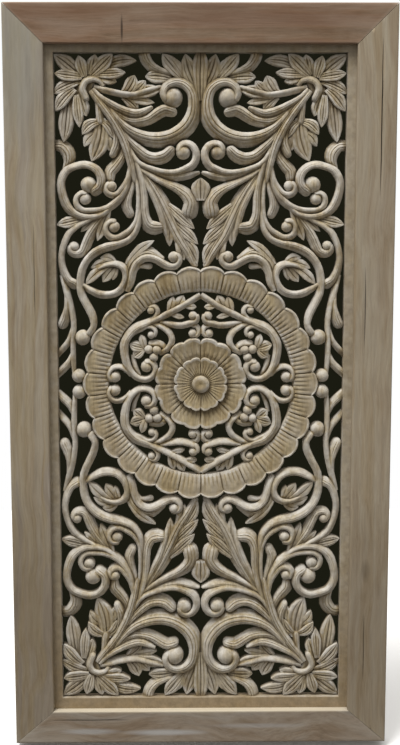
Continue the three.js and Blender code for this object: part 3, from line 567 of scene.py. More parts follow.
def petal(from_u, from_v, to_u, to_v, half, bend, level):
    """Points and faces of one petal or leaf lobe."""
    t = PETAL_STATIONS
    heading = math.atan2(to_v - from_v, to_u - from_u)
    bow = 4 * bend * t * (1 - t)
    u = from_u + (to_u - from_u) * t - math.sin(heading) * bow
    v = from_v + (to_v - from_v) * t + math.cos(heading) * bow
    swelling = PETAL_BASE + (1 - PETAL_BASE) * np.sin(math.pi / 2 * t / WIDEST_AT)
    closing = np.cos(math.pi / 2 * np.clip((t - WIDEST_AT) / (1 - WIDEST_AT), 0, 1)) ** POINTED + BLUNT_TIP
    width = half * np.where(t < WIDEST_AT, swelling, closing)
    hollow = np.minimum(width * PETAL_HOLLOW, HOLLOW_MOST)
    place, depth, second = np.array(BROAD_PETAL if half >= SECOND_VEINS else NARROW_PETAL).T
    crown = (CROWN + level * LEVEL + BASE_SINK * np.clip(BASE_RUN - t, 0, 1) / BASE_RUN
             + TIP_SINK * (np.clip(t - TIP_RUN, 0, 1) / TIP_RUN) ** 2)
    tilted = PETAL_TILT * (1 + place * math.cos(heading)) / 2
    rings = []
    for i in range(len(t)):
        y = crown[i] + depth * hollow[i] + second * SECOND_DEPTH * width[i] / half + tilted * width[i]
        rings.append(down_to_back(np.column_stack([u[i] - math.sin(heading) * width[i] * place, y,
                                                   v[i] + math.cos(heading) * width[i] * place])))
    return loft(rings)


BALL_TURNS = np.radians([90, 72, 52, 30, 8])
BALL_RISE, BALL_DOME = 0.15, 0.9        # how far a ball stands proud and how high its dome is, in radii
LARGE_BALL, LARGE_SIDES, SMALL_SIDES = 10, 18, 12


def ball(u, v, radius, level):
    """A dome on a round post."""
    crown = CROWN + level * LEVEL - radius * BALL_RISE
    dome = [(radius * math.sin(a), crown + radius * BALL_DOME * (1 - math.cos(a))) for a in BALL_TURNS]
    return turned([(radius, BOARD_BACK)] + dome, LARGE_SIDES if radius > LARGE_BALL else SMALL_SIDES, u, v)


print("a petal has", len(petal(*PETALS[0])[1]), "triangles, a ball", len(ball(*BALLS[0])[1]))

# %% Four quarters from one
def quarter_solids():
    """Every solid of the drawn quarter, with its name."""
    for name, points, volute, level in SCROLLS:
        yield name, strand(points, volute, level)
        if volute:
            yield name + "_ball", ball(volute[0], volute[1], volute[5], level)
    for number, row in enumerate(PETALS):
        yield f"petal_{number}", petal(*row)
    for number, row in enumerate(BALLS):
        yield f"ball_{number}", ball(*row)


def placed(solid, side, stretch):
    """A drawn solid moved to its quarter of the board; one mirrored turns its faces round."""
    points, faces = solid
    points = points * [side, 1, stretch] + [0, 0, middle_z]
    return points, faces if side * stretch > 0 else faces[:, ::-1]


solids = []
for stretch in (1.0, -(middle_z - bottom) / DRAWN_TOP):
    for number, row in enumerate(AXIS_PETALS):
        solids.append((f"axis_petal_{number}", placed(petal(*row), 1, stretch)))
    for side in (1, -1):
        solids += [(name, placed(solid, side, stretch)) for name, solid in quarter_solids()]
print(len(solids), "solids,", sum(len(faces) for _, (_, faces) in solids), "triangles")

# %% [markdown]
# ## The scalloped ring and the flower
#
# The ring has thirty scallops, and the two tiers of the flower have eight petals each. Inside each scallop a
# narrow gouge cuts short flutes that fade out before the smooth raised rim. One scallop or petal is
# modelled as a wedge, open at its two sides, and a Geometry Nodes tree sets copies of it round the middle and
# merges them: the count is a named input, and a change to the wedge changes all of them.

# %% One fluted wedge
SEAM_DEPTH = 1.3            # depth of the line between two lobes
FLUTE_AT = [0, 0.22, 0.5, 0.78]         # where the columns of points lie in one flute, which is cut at 0
FLUTE_NARROW = 3            # more makes the cut narrower
UNEVEN_REACH = 0.12         # the middle flutes end sooner than the side ones, by this share of the way out
FADE_OUT = 0.3              # share of the way out over which a flute fades
HUB_CUT, HUB_GAIN = 0.35, 4             # a flute's depth at the hub, and how fast it gains depth from there
DOME_FLAT = 2.5             # more makes the top of a lobe flatter across
ROUND_LOBE = 0.7            # under 1 makes a lobe's outline rounder than a sine


def fluted_wedge(name, count, inner, outline, heights, flutes, flute_depth, fade, dome):
    """One of count lobes round the middle. heights are (share of the way out, depth) from hub to edge."""
    t = np.append(np.add.outer(np.arange(flutes), FLUTE_AT).ravel(), flutes) / flutes
    angle = math.pi / 2 + t * 2 * math.pi / count
    reed = (0.5 + 0.5 * np.cos(2 * math.pi * flutes * t)) ** FLUTE_NARROW
    reach = fade + UNEVEN_REACH * np.cos(2 * math.pi * t)
    seam = np.where((t == 0) | (t == 1), 1.0, 0.0)
    across = 1 - np.abs(2 * t - 1) ** DOME_FLAT
    outer = outline(t)
    rows = [(np.full(len(t), inner), np.full(len(t), BOARD_BACK))]
    for share, depth in heights:
        radius = inner + (outer - inner) * share
        strength = np.clip((reach - share) / FADE_OUT, 0, 1) * min(1, HUB_CUT + share * HUB_GAIN)
        cut = flute_depth * reed * strength
        rows.append((radius, depth + cut + seam * SEAM_DEPTH - dome * across * share))
    rows.append((outer, np.full(len(t), BOARD_BACK)))
    rings = np.array([[(radius[i] * math.cos(angle[i]), y[i], radius[i] * math.sin(angle[i]))
                       for radius, y in rows] for i in range(len(t))])
    steps, size = rings.shape[:2]
    quads = [(i * size + j, i * size + (j + 1) % size, (i + 1) * size + (j + 1) % size, (i + 1) * size + j)
             for i in range(steps - 1) for j in range(size)]
    return mesh_of(name, rings.reshape(-1, 3), quads)


def scallop(dip, peak):
    """A scallop's outline: one round lobe."""
    return lambda t: dip + (peak - dip) * np.sin(math.pi * t) ** ROUND_LOBE


def double_lobe(notch, dip, peak):
    """A petal's outline: a deep notch at each side and two lobes with a dip between them."""
    def outline(t):
        low = dip + (notch - dip) * np.abs(2 * t - 1) ** 6
        return low + (peak - low) * np.abs(np.sin(2 * math.pi * t)) ** ROUND_LOBE
    return outline


RING_HEIGHTS = [(0, -13), (.04, -16.8), (.16, -18.9), (.34, -20.3), (.56, -20.9), (.76, -20.6), (.88, -20.1),
                (.93, -21.4), (.97, -21.1), (1, -17.5)]
OUTER_HEIGHTS = [(0, -17.4), (.12, -17.4), (.3, -17.6), (.5, -18.1), (.68, -18.8), (.84, -19.4), (.92, -20.4),
                 (.965, -20.3), (1, -17)]
INNER_HEIGHTS = [(0, -20.4), (.14, -20.4), (.32, -20.6), (.52, -21), (.7, -21.5), (.84, -22), (.92, -22.9),
                 (.965, -22.8), (1, -20)]
# Name, count, inner radius, outline, heights, then number of flutes, their depth, their reach, and the dome.
LOBES = [
    ("ring_scallop", 30, 149, scallop(183, 190.5), RING_HEIGHTS, 5, 1.4, 0.74, 0.9),
    ("outer_petal", 8, 30, double_lobe(68, 72, 75.5), OUTER_HEIGHTS, 6, 1.0, 0.9, 0.7),
    ("inner_petal", 8, 9, double_lobe(39, 42, 44), INNER_HEIGHTS, 5, 0.9, 0.9, 0.6),
]
wedges = [fluted_wedge(*lobe) for lobe in LOBES]
print([(mesh.name, len(mesh.polygons)) for mesh in wedges])


# %% Geometry Nodes: repeat a wedge round the middle
def grown(mesh, tree, values):
    """Runs a Geometry Nodes tree on a mesh and gives the result back as a plain mesh."""
    holder = in_scene(mesh.name, mesh)
    modifier = holder.modifiers.new(tree.name, "NODES")
    modifier.node_group = tree
    for item in tree.interface.items_tree:
        if item.in_out == "INPUT" and item.name in values:
            modifier[item.identifier] = values[item.name]
    depsgraph = bpy.context.evaluated_depsgraph_get()
    result = bpy.data.meshes.new_from_object(holder.evaluated_get(depsgraph))
    holder.modifiers.remove(modifier)
    bpy.data.objects.remove(holder)
    return result


def new_tree(name, inputs):
    """A Geometry Nodes tree with a geometry input and output, and the named inputs given."""
    tree = bpy.data.node_groups.new(name, "GeometryNodeTree")
    tree.interface.new_socket("Geometry", in_out="INPUT", socket_type="NodeSocketGeometry")
    tree.interface.new_socket("Geometry", in_out="OUTPUT", socket_type="NodeSocketGeometry")
    for label, kind in inputs.items():
        tree.interface.new_socket(label, in_out="INPUT", socket_type="NodeSocket" + kind)
    return tree


MERGE_WITHIN = 0.01 * MM

round_the_middle = tree = new_tree("round_the_middle",
                                   {"Count": "Int", "Middle": "Vector", "Material": "Material"})
given = add(tree, "NodeGroupInput")
places = add(tree, "GeometryNodePoints", {"Count": given.outputs["Count"]})
number = add(tree, "GeometryNodeInputIndex")
share = add(tree, "ShaderNodeMath", {0: number, 1: given.outputs["Count"]}, operation="DIVIDE")
angle = add(tree, "ShaderNodeMath", {0: share, 1: -2 * math.pi}, operation="MULTIPLY")
rotation = add(tree, "ShaderNodeCombineXYZ", {"Y": angle})
spread = add(tree, "GeometryNodeInstanceOnPoints",
             {"Points": places, "Instance": given.outputs["Geometry"], "Rotation": rotation})
real = add(tree, "GeometryNodeRealizeInstances", {"Geometry": spread})
whole = add(tree, "GeometryNodeMergeByDistance", {"Geometry": real, "Distance": MERGE_WITHIN})
set_down = add(tree, "GeometryNodeTransform", {"Geometry": whole, "Translation": given.outputs["Middle"]})
finished = add(tree, "GeometryNodeSetMaterial",
               {"Geometry": set_down, "Material": given.outputs["Material"]})
add(tree, "NodeGroupOutput", {0: finished})
print(tree.name, len(tree.nodes), "nodes")

# %% Ring, flower and boss
limed_carving = new_material("limed_carved_hardwood")
middle_m = Vector((0, 0, middle_z * MM))
rounds = []
for lobe, wedge in zip(LOBES, wedges):
    mesh = grown(wedge, round_the_middle, {"Count": lobe[1], "Middle": middle_m, "Material": limed_carving})
    rounds.append(mesh)
    print(mesh.name, len(mesh.polygons), "faces")

# The boss, as rows of (radius, depth) from its foot to the dent in its top.
BOSS = [(14, BOARD_BACK), (14, -23), (13.4, -25.2), (11.4, -27), (8, -28), (4, -27.8), (1.6, -27.1),
        (0.5, -26.9)]
BOSS_SIDES = 28
boss = turned(BOSS, BOSS_SIDES, 0, middle_z)
print("boss", len(boss[1]), "triangles")

# %% [markdown]
# ## The flat margin
#
# The board stays whole round the carving. That band is flat, and its inner edge was cut by hand: it wanders
# by half a millimetre, and a pass of sandpaper has broken the sharp corner.

# %% Margin
MARGIN_STEP = 16            # millimetres between stations along the opening
EDGE_WANDER, WANDER_SPAN = 0.5, 40      # how far the edge strays, and over what length
WANDER_SEED = 7
SANDED = 1.4                # width and depth of the broken corner
SANDED_MIDDLE = 0.3         # where the middle of that rounding lies, as a share of it


def margin():
    """A closed band from the board's outer edge to the opening."""
    outer = np.array(corners((low_x, low_z), (high_x, high_z)))
    inner = np.array(corners((left, bottom), (right, top)))
    outward = -np.array(corners((1, 1), (-1, -1)))
    rings = []
    for here in range(4):
        there = (here + 1) % 4
        count = int(np.linalg.norm(inner[there] - inner[here]) / MARGIN_STEP)
        for t in np.arange(count) / count:
            out, edge, away = (side[here] * (1 - t) + side[there] * t for side in (outer, inner, outward))
            edge += away * (EDGE_WANDER * noise.noise(Vector((*edge, WANDER_SEED)) / WANDER_SPAN))
            rounding = [(edge + away * SANDED * a, BOARD_FRONT + SANDED * b)
                        for a, b in ((1, 0), (SANDED_MIDDLE, SANDED_MIDDLE), (0, 1))]
            ring = [(out, BOARD_BACK), (out, BOARD_FRONT), *rounding, (edge, BOARD_BACK)]
            rings.append([(x, y, z) for (x, z), y in ring])
    return loft(rings, closed=True)


solids += [("boss", boss), ("margin", margin())]
print("margin", len(solids[-1][1][1]), "triangles")

# %% [markdown]
# ## One board
#
# The real carving is a single piece of wood, so the solids are united into one closed mesh. Geometry Nodes'
# Mesh Boolean with the Manifold solver joins hundreds of closed shapes in a few seconds. The join leaves
# crisp V lines where two strands meet, as the carver's knife does.

# %% Geometry Nodes: unite
one_board = tree = new_tree("one_board", {"Solids": "Collection", "Material": "Material"})
given = add(tree, "NodeGroupInput")
apart = add(tree, "GeometryNodeCollectionInfo",
            {"Collection": given.outputs["Solids"], "Separate Children": True})
joined = add(tree, "GeometryNodeMeshBoolean", {"Mesh 2": apart}, operation="UNION", solver="MANIFOLD")
real = add(tree, "GeometryNodeRealizeInstances", {"Geometry": joined})
finished = add(tree, "GeometryNodeSetMaterial", {"Geometry": real, "Material": given.outputs["Material"]})
add(tree, "NodeGroupOutput", {0: finished})

solids_collection = bpy.data.collections.new("solids")
for mesh in rounds + [mesh_of(name, *solid) for name, solid in solids]:
    solids_collection.objects.link(bpy.data.objects.new(mesh.name, mesh))
board_mesh = grown(bpy.data.meshes.new("carving"), one_board,
                   {"Solids": solids_collection, "Material": limed_carving})
for solid in list(solids_collection.objects):
    bpy.data.objects.remove(solid)
board_mesh.name = "openwork_board"
print(board_mesh.name, len(board_mesh.polygons), "faces")


# %% Check and clean the board
def open_edges(mesh):
    """How many edges don't have exactly two faces."""
    shape = bmesh.new()
    shape.from_mesh(mesh)
    count = sum(len(edge.link_faces) != 2 for edge in shape.edges)
    shape.free()
    return count


def triangles(mesh):
    """How many triangles the mesh comes to."""
    mesh.calc_loop_triangles()
    return len(mesh.loop_triangles)


def keep_largest(mesh):
    """Drops the small closed pockets that the join leaves inside the wood."""
    ends = np.empty(len(mesh.edges) * 2, int)
    mesh.edges.foreach_get("vertices", ends)
    start, end = ends.reshape(-1, 2).T
    body = np.arange(len(mesh.vertices))
    before = None
    while before is None or (body != before).any():
        before = body.copy()
        lowest = np.minimum(body[start], body[end])
        np.minimum.at(body, start, lowest)
        np.minimum.at(body, end, lowest)
        body = body[body]
    kept, counts = np.unique(body, return_counts=True)
    shape = bmesh.new()
    shape.from_mesh(mesh)
    stray = [vertex for vertex in shape.verts if body[vertex.index] != kept[counts.argmax()]]
    bmesh.ops.delete(shape, geom=stray, context="VERTS")
    shape.to_mesh(mesh)
    shape.free()
    return len(kept) - 1, len(stray)


print("pockets and their points dropped:", keep_largest(board_mesh))
print("board", triangles(board_mesh), "triangles,", open_edges(board_mesh), "open edges")

# %% [markdown]
# ## The carver's hand
#
# No two quarters of a hand-carved board are quite alike. A slow drift of under a millimetre moves the strands
# a little, and a shorter tremble makes the cut edges waver as a knife does. Both fade out towards the margin,
# so that the opening stays true.

# %% Drift
# The drift and the tremble: millimetres moved at most, millimetres from one swing to the next, and a seed.
SWINGS = [(0.9, 48, 3.0), (0.4, 9, 9.0)]
FADE = 30                   # millimetres over which the drift grows from the opening's edge
DEPTH_SHARE = 0.5           # in depth the carving moves half as far, and only backwards
DRIFT_SEED = 1              # fixes the offsets of noise_vector, which otherwise differ from run to run

noise.seed_set(DRIFT_SEED)
points = np.empty(len(board_mesh.vertices) * 3)
board_mesh.vertices.foreach_get("co", points)
points = points.reshape(-1, 3) / MM
inside = np.minimum.reduce([points[:, 0] - left, right - points[:, 0], points[:, 2] - bottom,
                            top - points[:, 2]])
share = np.clip(inside / FADE, 0, 1)[:, None]
swing = np.array([sum((most * noise.noise_vector(Vector((x, seed, z)) / span) for most, span, seed in SWINGS),
                      Vector()) for x, _, z in points])
move = swing * share * [1, DEPTH_SHARE, 1]
move[:, 1] = np.where(points[:, 1] > BOARD_BACK - 0.01, 0, np.abs(move[:, 1]))
points += move
board_mesh.vertices.foreach_set("co", (points * MM).ravel())
board_mesh.update()
print("moved by up to", round(float(np.abs(move).max()), 2), "mm")

# %% [markdown]
# ## Where lime, dirt and painted light stay
#
# The board was washed with lime and rubbed back. White is left on the crests, together with a painted
# highlight, and brown wood, dust and painted shade show in the cuts and hollows. To tell a crest from a cut,
# the carving's front is measured on a fine grid, and each spot is compared with the average height around it.
# The result is kept on the points as two attributes, which the material reads.

# %% Relief attributes
GRID = 1.4                  # millimetres
# Name: spread of the average, and the difference in depth that goes from black to white, in millimetres.
RELIEFS = {"fine_relief": (2.2, 4.0), "broad_relief": (9.0, 24.0)}
MEDALLION_REACH = 192       # radius that takes in the ring
RAY_FROM, RAY_LENGTH = -0.05, 0.06      # metres


def height_map(mesh):
    """Front surface of a mesh on a grid, in millimetres; the openings count as deep."""
    surface = BVHTree.FromPolygons([v.co for v in mesh.vertices], [p.vertices for p in mesh.polygons])
    xs, zs = np.arange(low_x, high_x + GRID, GRID), np.arange(low_z, high_z + GRID, GRID)
    heights = np.full((len(xs), len(zs)), BOARD_BACK)
    toward = Vector((0, 1, 0))
    for i, x in enumerate(xs):
        for j, z in enumerate(zs):
            hit = surface.ray_cast(Vector((x * MM, RAY_FROM, z * MM)), toward, RAY_LENGTH)[0]
            if hit is not None:
                heights[i, j] = hit.y / MM
    return heights


def blurred(grid, spread):
    """A Gaussian blur, one axis after the other."""
    reach = math.ceil(3 * spread)
    weights = np.exp(-0.5 * (np.arange(-reach, reach + 1) / spread) ** 2)
    weights /= weights.sum()
    for axis in (0, 1):
        padded = np.pad(grid, [(reach, reach) if a == axis else (0, 0) for a in (0, 1)], mode="edge")
        grid = sum(w * np.take(padded, range(k, k + grid.shape[axis]), axis) for k, w in enumerate(weights))
    return grid


def sampled(grid, points):
    """The grid's value at each point, by bilinear interpolation."""
    x = np.clip((points[:, 0] - low_x) / GRID, 0, grid.shape[0] - 1.001)
    z = np.clip((points[:, 2] - low_z) / GRID, 0, grid.shape[1] - 1.001)
    i, j = x.astype(int), z.astype(int)
    a, b = x - i, z - j
    low = grid[i, j] * (1 - a) + grid[i + 1, j] * a
    high = grid[i, j + 1] * (1 - a) + grid[i + 1, j + 1] * a
    return low * (1 - b) + high * b


def keep_on_points(mesh, name, values):
    """Stores one number for each point of the mesh, under a name that a material can read."""
    attribute = mesh.attributes.new(name, "FLOAT", "POINT")
    attribute.data.foreach_set("value", np.asarray(values, np.float32))


heights = height_map(board_mesh)
for name, (spread, span) in RELIEFS.items():
    around = sampled(blurred(heights, spread / GRID), points)
    relief = np.clip(0.5 + (around - points[:, 1]) / span, 0, 1)
    keep_on_points(board_mesh, name, relief)
    print(name, "from", round(float(relief.min()), 2), "to", round(float(relief.max()), 2))

from_middle = np.hypot(points[:, 0], points[:, 2] - middle_z)
keep_on_points(board_mesh, "flat_margin", np.clip(0.5 - inside, 0, 1))
keep_on_points(board_mesh, "medallion", np.clip(MEDALLION_REACH - from_middle, 0, 1))

# %% Smooth faces, sharp cuts
SHARP = 42                  # degrees between faces that stay a hard edge

board_mesh.shade_smooth()
board_mesh.set_sharp_from_angle(angle=math.radians(SHARP))
board = in_scene("openwork_board", board_mesh)
print("openwork_board", len(board_mesh.vertices), "points")

# %% [markdown]
# ## The frame members
#
# The four members are planed boards with a rebate at the back that laps over the carved board. Their ends
# are cut at the mitre. A plain box would look too new: the front face of old timber is slightly wavy, its
# arrises are rounded by handling, and long drying cracks run with the grain. So the section has many points,
# it is repeated along the member, and the waves and cracks are set by how far along each point lies.

# %% Frame members
FRAME_FRONT = -36.0
ARRIS = 2.4                 # radius of the rounded front edges
ARRIS_POINTS, FLAT_POINTS = 5, 9        # points round one of them, and across the flat face
FLAT_FROM = 4               # millimetres from an arris to the first of those
LIP = 10.0                  # width of the lip over the board
LIP_BACK = -23.3
SEAM, SEAM_BEHIND = 0.35, 0.03          # half of the line between two members, at the front and behind
WAVE = 0.5                  # how far the face dips, at most
WAVE_ALONG, WAVE_ACROSS = 90, 45        # millimetres from one dip to the next
MEMBER_STEP = 9.0           # millimetres between stations
CRACK_SIDE = 1.2            # half width of a drying crack
CRACK_SWAY, SWAY_SPAN = 1.0, 35         # how far a crack strays sideways, and over what length
CRACK_ENDS = 0.6            # less makes a crack close more suddenly at its ends
MEMBER_SHARP = 50           # degrees between faces that stay a hard edge


def member_section(face, cracks):
    """Rows of distance from the outer edge, depth, 1 where the face waves, and a crack's number or -1."""
    arc = np.radians(np.linspace(0, 90, ARRIS_POINTS))
    outer = [(ARRIS - ARRIS * math.cos(a), FRAME_FRONT + ARRIS - ARRIS * math.sin(a), 0, -1) for a in arc]
    inner = [(face - ARRIS + ARRIS * math.sin(a), FRAME_FRONT + ARRIS - ARRIS * math.cos(a), 0, -1)
             for a in arc]
    flat_ends = ARRIS + FLAT_FROM, face - ARRIS - FLAT_FROM
    flat = [(d, FRAME_FRONT, 1, -1) for d in np.linspace(*flat_ends, FLAT_POINTS)]
    for number, (across, *_) in enumerate(cracks):
        for offset, crack in ((-CRACK_SIDE, -1), (0, number), (CRACK_SIDE, -1)):
            flat.append((across + offset, FRAME_FRONT, 1, crack))
    flat.sort()
    back = [(face, LIP_BACK, 0, -1), (face - LIP, LIP_BACK, 0, -1), (face - LIP, 0, 0, -1), (0, 0, 0, -1)]
    return outer + flat + inner + back


def member(name, face, length, insets, place, seed, cracks=()):
    """One mitred member. insets say how far each end steps in along the mitre, place turns a distance along,
    one across and a depth into a point, and a crack is a row of across, from, to and depth."""
    section = member_section(face, cracks)
    rings, gapes = [], []
    for t in np.linspace(0, 1, round(length / MEMBER_STEP) + 1):
        ring = []
        for d, y, waves, crack in section:
            seam = SEAM if y < LIP_BACK else SEAM_BEHIND
            start, end = seam + d / face * insets[0], length - seam - d / face * insets[1]
            along = start + (end - start) * t
            sway = noise.noise(Vector((along / WAVE_ALONG, d / WAVE_ACROSS, seed)))
            y += waves * WAVE * (0.5 + 0.5 * sway)
            gape = 0.0
            if crack >= 0:
                _, first, last, deep = cracks[crack]
                gape = math.sin(math.pi * min(max((along - first) / (last - first), 0), 1)) ** CRACK_ENDS
                y += deep * gape
                d += CRACK_SWAY * noise.noise(Vector((along / SWAY_SPAN, crack, seed)))
            ring.append(place(along, d, y))
            gapes.append(gape)
        rings.append(ring)
    mesh = mesh_of(name, *loft(rings))
    keep_on_points(mesh, "crack", gapes)
    mesh.shade_smooth()
    mesh.set_sharp_from_angle(angle=math.radians(MEMBER_SHARP))
    print(name, triangles(mesh), "triangles,", open_edges(mesh), "open edges")
    return in_scene(name, mesh)


# %% The four members
outer_low, outer_high = cad_box[0] / MM, cad_box[1] / MM
width, height = outer_high.x - outer_low.x, outer_high.z - outer_low.z
stile_low, stile_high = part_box("left_stile")
top_low, top_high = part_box("top_rail")
bottom_low, bottom_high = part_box("bottom_rail")
stile_face = (stile_high - stile_low).x / MM
top_face, bottom_face = (top_high - top_low).z / MM, (bottom_high - bottom_low).z / MM

left_piece = member(
    "left_upright", stile_face, height, (bottom_face, top_face),
    lambda s, d, y: (outer_low.x + d, y, outer_low.z + s), 11, [(44, 700, 860, 0.4)])
right_piece = member(
    "right_upright", stile_face, height, (bottom_face, top_face),
    lambda s, d, y: (outer_high.x - d, y, outer_low.z + s), 23,
    [(24, 900, 1150, 2.4), (45, 660, 790, 1.2), (38, 105, 215, 1.5)])
top_piece = member(
    "head_rail", top_face, width, (stile_face, stile_face),
    lambda s, d, y: (outer_low.x + s, y, outer_high.z - d), 37)
bottom_piece = member(
    "foot_rail", bottom_face, width, (stile_face, stile_face),
    lambda s, d, y: (outer_low.x + s, y, outer_low.z + d), 51, [(40, 60, 190, 0.4)])

# %% [markdown]
# ## Limed hardwood
#
# The wood is a teak-like hardwood, planed or carved, washed with lime and left dry, so it is matt and a
# little chalky. Three things give it away: long colour streaks along the grain, fine dark pores, and a thin
# white film that stays in patches. The grain is stretched noise: its width across the grain is a few
# millimetres and its length ten or twenty times that. Pores are really about 0.2 mm wide, too fine to show
# from two metres, so they are drawn 1.5 mm wide.

# %% One recipe for limed wood
PORE = 1.5                  # millimetres across, coarser than real pores
GRAIN_LENGTHENS = 22        # how many times longer than wide
FILM_LENGTHENS = 3
SWIRL = 180                 # millimetres from one bend of the grain to the next
BAND, BAND_SHARE = 24, 0.5              # width in millimetres and strength of the growth bands in the frame


def ramp(colours, low, high):
    """Stops of a colour ramp, evenly spread from low to high."""
    return [(low + (high - low) * i / (len(colours) - 1), linear(c)) for i, c in enumerate(colours)]


def limed_wood(material, grain, tones, lime, *, streak, lime_share, seed, lime_span=60, bend=0.03,
               bands=None):
    """Fills a material with limed wood. grain is 0 for grain along X and 2 for grain along Z; streak and
    lime_span are millimetres, bend is how far the grain bends, in metres. Returns the tree, the colour so
    far, the pores and the coordinates, so that a piece can add its own marks."""
    tree = material.node_tree
    place = add(tree, "ShaderNodeTexCoord").outputs["Object"]
    swirl = add(tree, "ShaderNodeTexNoise", {"Vector": place, "Scale": 1 / (SWIRL * MM), "Detail": 2.0})
    off = add(tree, "ShaderNodeVectorMath", {0: swirl.outputs["Color"], 1: (0.5, 0.5, 0.5)},
              operation="SUBTRACT")
    bent = add(tree, "ShaderNodeVectorMath", {0: off, 1: (bend,) * 3, 2: place}, operation="MULTIPLY_ADD")
    long, longish = [1.0] * 3, [1.0] * 3
    long[grain], longish[grain] = 1 / GRAIN_LENGTHENS, 1 / FILM_LENGTHENS
    grained = add(tree, "ShaderNodeMapping", {"Vector": bent, "Location": [seed] * 3, "Scale": long})
    # one light and one dark streak, or pore, make up one period of the noise
    streaks = add(tree, "ShaderNodeTexNoise",
                  {"Vector": grained, "Scale": 1 / (streak * 2 * MM), "Detail": 5.0, "Roughness": 0.65})
    tone = add(tree, "ShaderNodeValToRGB", {"Fac": streaks}, stops=ramp(tones, 0.36, 0.64))
    pores = add(tree, "ShaderNodeTexNoise",
                {"Vector": grained, "Scale": 1 / (PORE * 2 * MM), "Detail": 3.0, "Roughness": 0.7})
    pored = add(tree, "ShaderNodeMapRange",
                {"Value": pores, "From Min": 0.35, "From Max": 0.6, "To Min": 0.76, "To Max": 1.07})
    toned = add(tree, "ShaderNodeMix", {0: 1.0, 6: tone, 7: pored}, data_type="RGBA", blend_type="MULTIPLY")
    if bands:
        wide = add(tree, "ShaderNodeTexNoise", {"Vector": grained, "Scale": 1 / (BAND * MM), "Detail": 2.0})
        hue = add(tree, "ShaderNodeValToRGB", {"Fac": wide}, stops=ramp(bands, 0.38, 0.62))
        toned = add(tree, "ShaderNodeMix", {0: BAND_SHARE, 6: toned, 7: hue}, data_type="RGBA")
    washed = add(tree, "ShaderNodeMapping", {"Vector": bent, "Location": [-seed] * 3, "Scale": longish})
    film = add(tree, "ShaderNodeTexNoise",
               {"Vector": washed, "Scale": 1 / (lime_span * MM), "Detail": 6.0, "Roughness": 0.7})
    patch = add(tree, "ShaderNodeMapRange",
                {"Value": film, "From Min": 0.44, "From Max": 0.62, "To Max": lime_share})
    limed = add(tree, "ShaderNodeMix", {0: patch, 6: toned, 7: linear(lime)}, data_type="RGBA")
    return tree, limed, pores, place


def spot(tree, place, centre, reach):
    """1 inside an ellipsoid with its centre and half lengths in millimetres, 0 outside, soft between."""
    off = add(tree, "ShaderNodeVectorMath", {0: place, 1: [c * MM for c in centre]}, operation="SUBTRACT")
    scaled = add(tree, "ShaderNodeVectorMath", {0: off, 1: [1 / (r * MM) for r in reach]},
                 operation="MULTIPLY")
    far = add(tree, "ShaderNodeVectorMath", {0: scaled}, operation="LENGTH")
    return add(tree, "ShaderNodeMapRange", {"Value": far, "From Min": 1.3, "From Max": 0.5})


def over(tree, below, above, share, most=1.0):
    """The colour below with the hex colour above laid over it, by share times most, up to 1."""
    scaled = add(tree, "ShaderNodeMath", {0: share, 1: most}, operation="MULTIPLY", use_clamp=True)
    return add(tree, "ShaderNodeMix", {0: scaled, 6: below, 7: linear(above)}, data_type="RGBA")


def finish_wood(tree, colour, pores, marks=None):
    """Ends a wood tree: a matt dielectric, rougher at the open pores, with the pores as a fine bump."""
    rough = add(tree, "ShaderNodeMapRange",
                {"Value": pores, "From Min": 0.3, "From Max": 0.7, "To Min": 0.9, "To Max": 0.62})
    raised = add(tree, "ShaderNodeBump", {"Height": pores, "Strength": 0.45, "Distance": 0.7 * MM})
    if marks:
        tooled = add(tree, "ShaderNodeBump", {"Height": marks, "Strength": 0.5, "Distance": 1.6 * MM})
        tree.links.new(tooled.outputs["Normal"], raised.inputs["Normal"])
    surface = add(tree, "ShaderNodeBsdfPrincipled", {
        "Base Color": colour, "Roughness": rough, "IOR": 1.5, "Specular IOR Level": 0.3, "Normal": raised})
    add(tree, "ShaderNodeOutputMaterial", {"Surface": surface})


print("recipe ready: pores", PORE, "mm, grain", GRAIN_LENGTHENS, "times longer than wide")

# %% [markdown]
# ## Finish of the carving
#
# The carving is paler than the frame. Lime sits on its crests, with a painted highlight over it, and the cuts
# and side walls keep the brown of the wood, darkened by painted shade. The relief attributes drive that, one
# for the thin cuts and one for the deep hollows. The medallion took less lime and is yellower, with less
# painted shade in its hollows, and the flat margin was hardly rubbed, so it is nearly as brown as the frame.
# The gouge left shallow facets a few millimetres long, which break the light on every rounded place. The back
# was only planed, so it keeps the plain colour of the wood.

# %% Carving: wood and hollows
FACET = 9                   # millimetres from one facet to the next
FILM = 26                   # millimetres from one patch of lime to the next

tree, bare, pores, place = limed_wood(
    limed_carving, 2, ["#897652", "#9b8967", "#a99a7a", "#b1a58e"], "#b5ada0",
    streak=12, lime_share=0.65, seed=0.37, lime_span=55)
fine, broad, flat, round_part = (
    add(tree, "ShaderNodeAttribute", attribute_name=name).outputs["Fac"]
    for name in ("fine_relief", "broad_relief", "flat_margin", "medallion"))
colour = over(tree, bare, "#9c8a66", round_part, 0.3)
# Painted shade, with some dust: the deep hollows are darkened towards dark brown, less so in the medallion.
deep = add(tree, "ShaderNodeMapRange", {"Value": broad, "From Min": 0.56, "From Max": 0.15, "To Max": 0.78})
shown = add(tree, "ShaderNodeMath", {0: round_part, 1: -0.82, 2: 1.0}, operation="MULTIPLY_ADD")
hollow_shade_and_dust = add(tree, "ShaderNodeMath", {0: deep, 1: shown}, operation="MULTIPLY")
colour = over(tree, colour, "#463b2d", hollow_shade_and_dust)
print("wood and hollows", len(tree.nodes), "nodes")

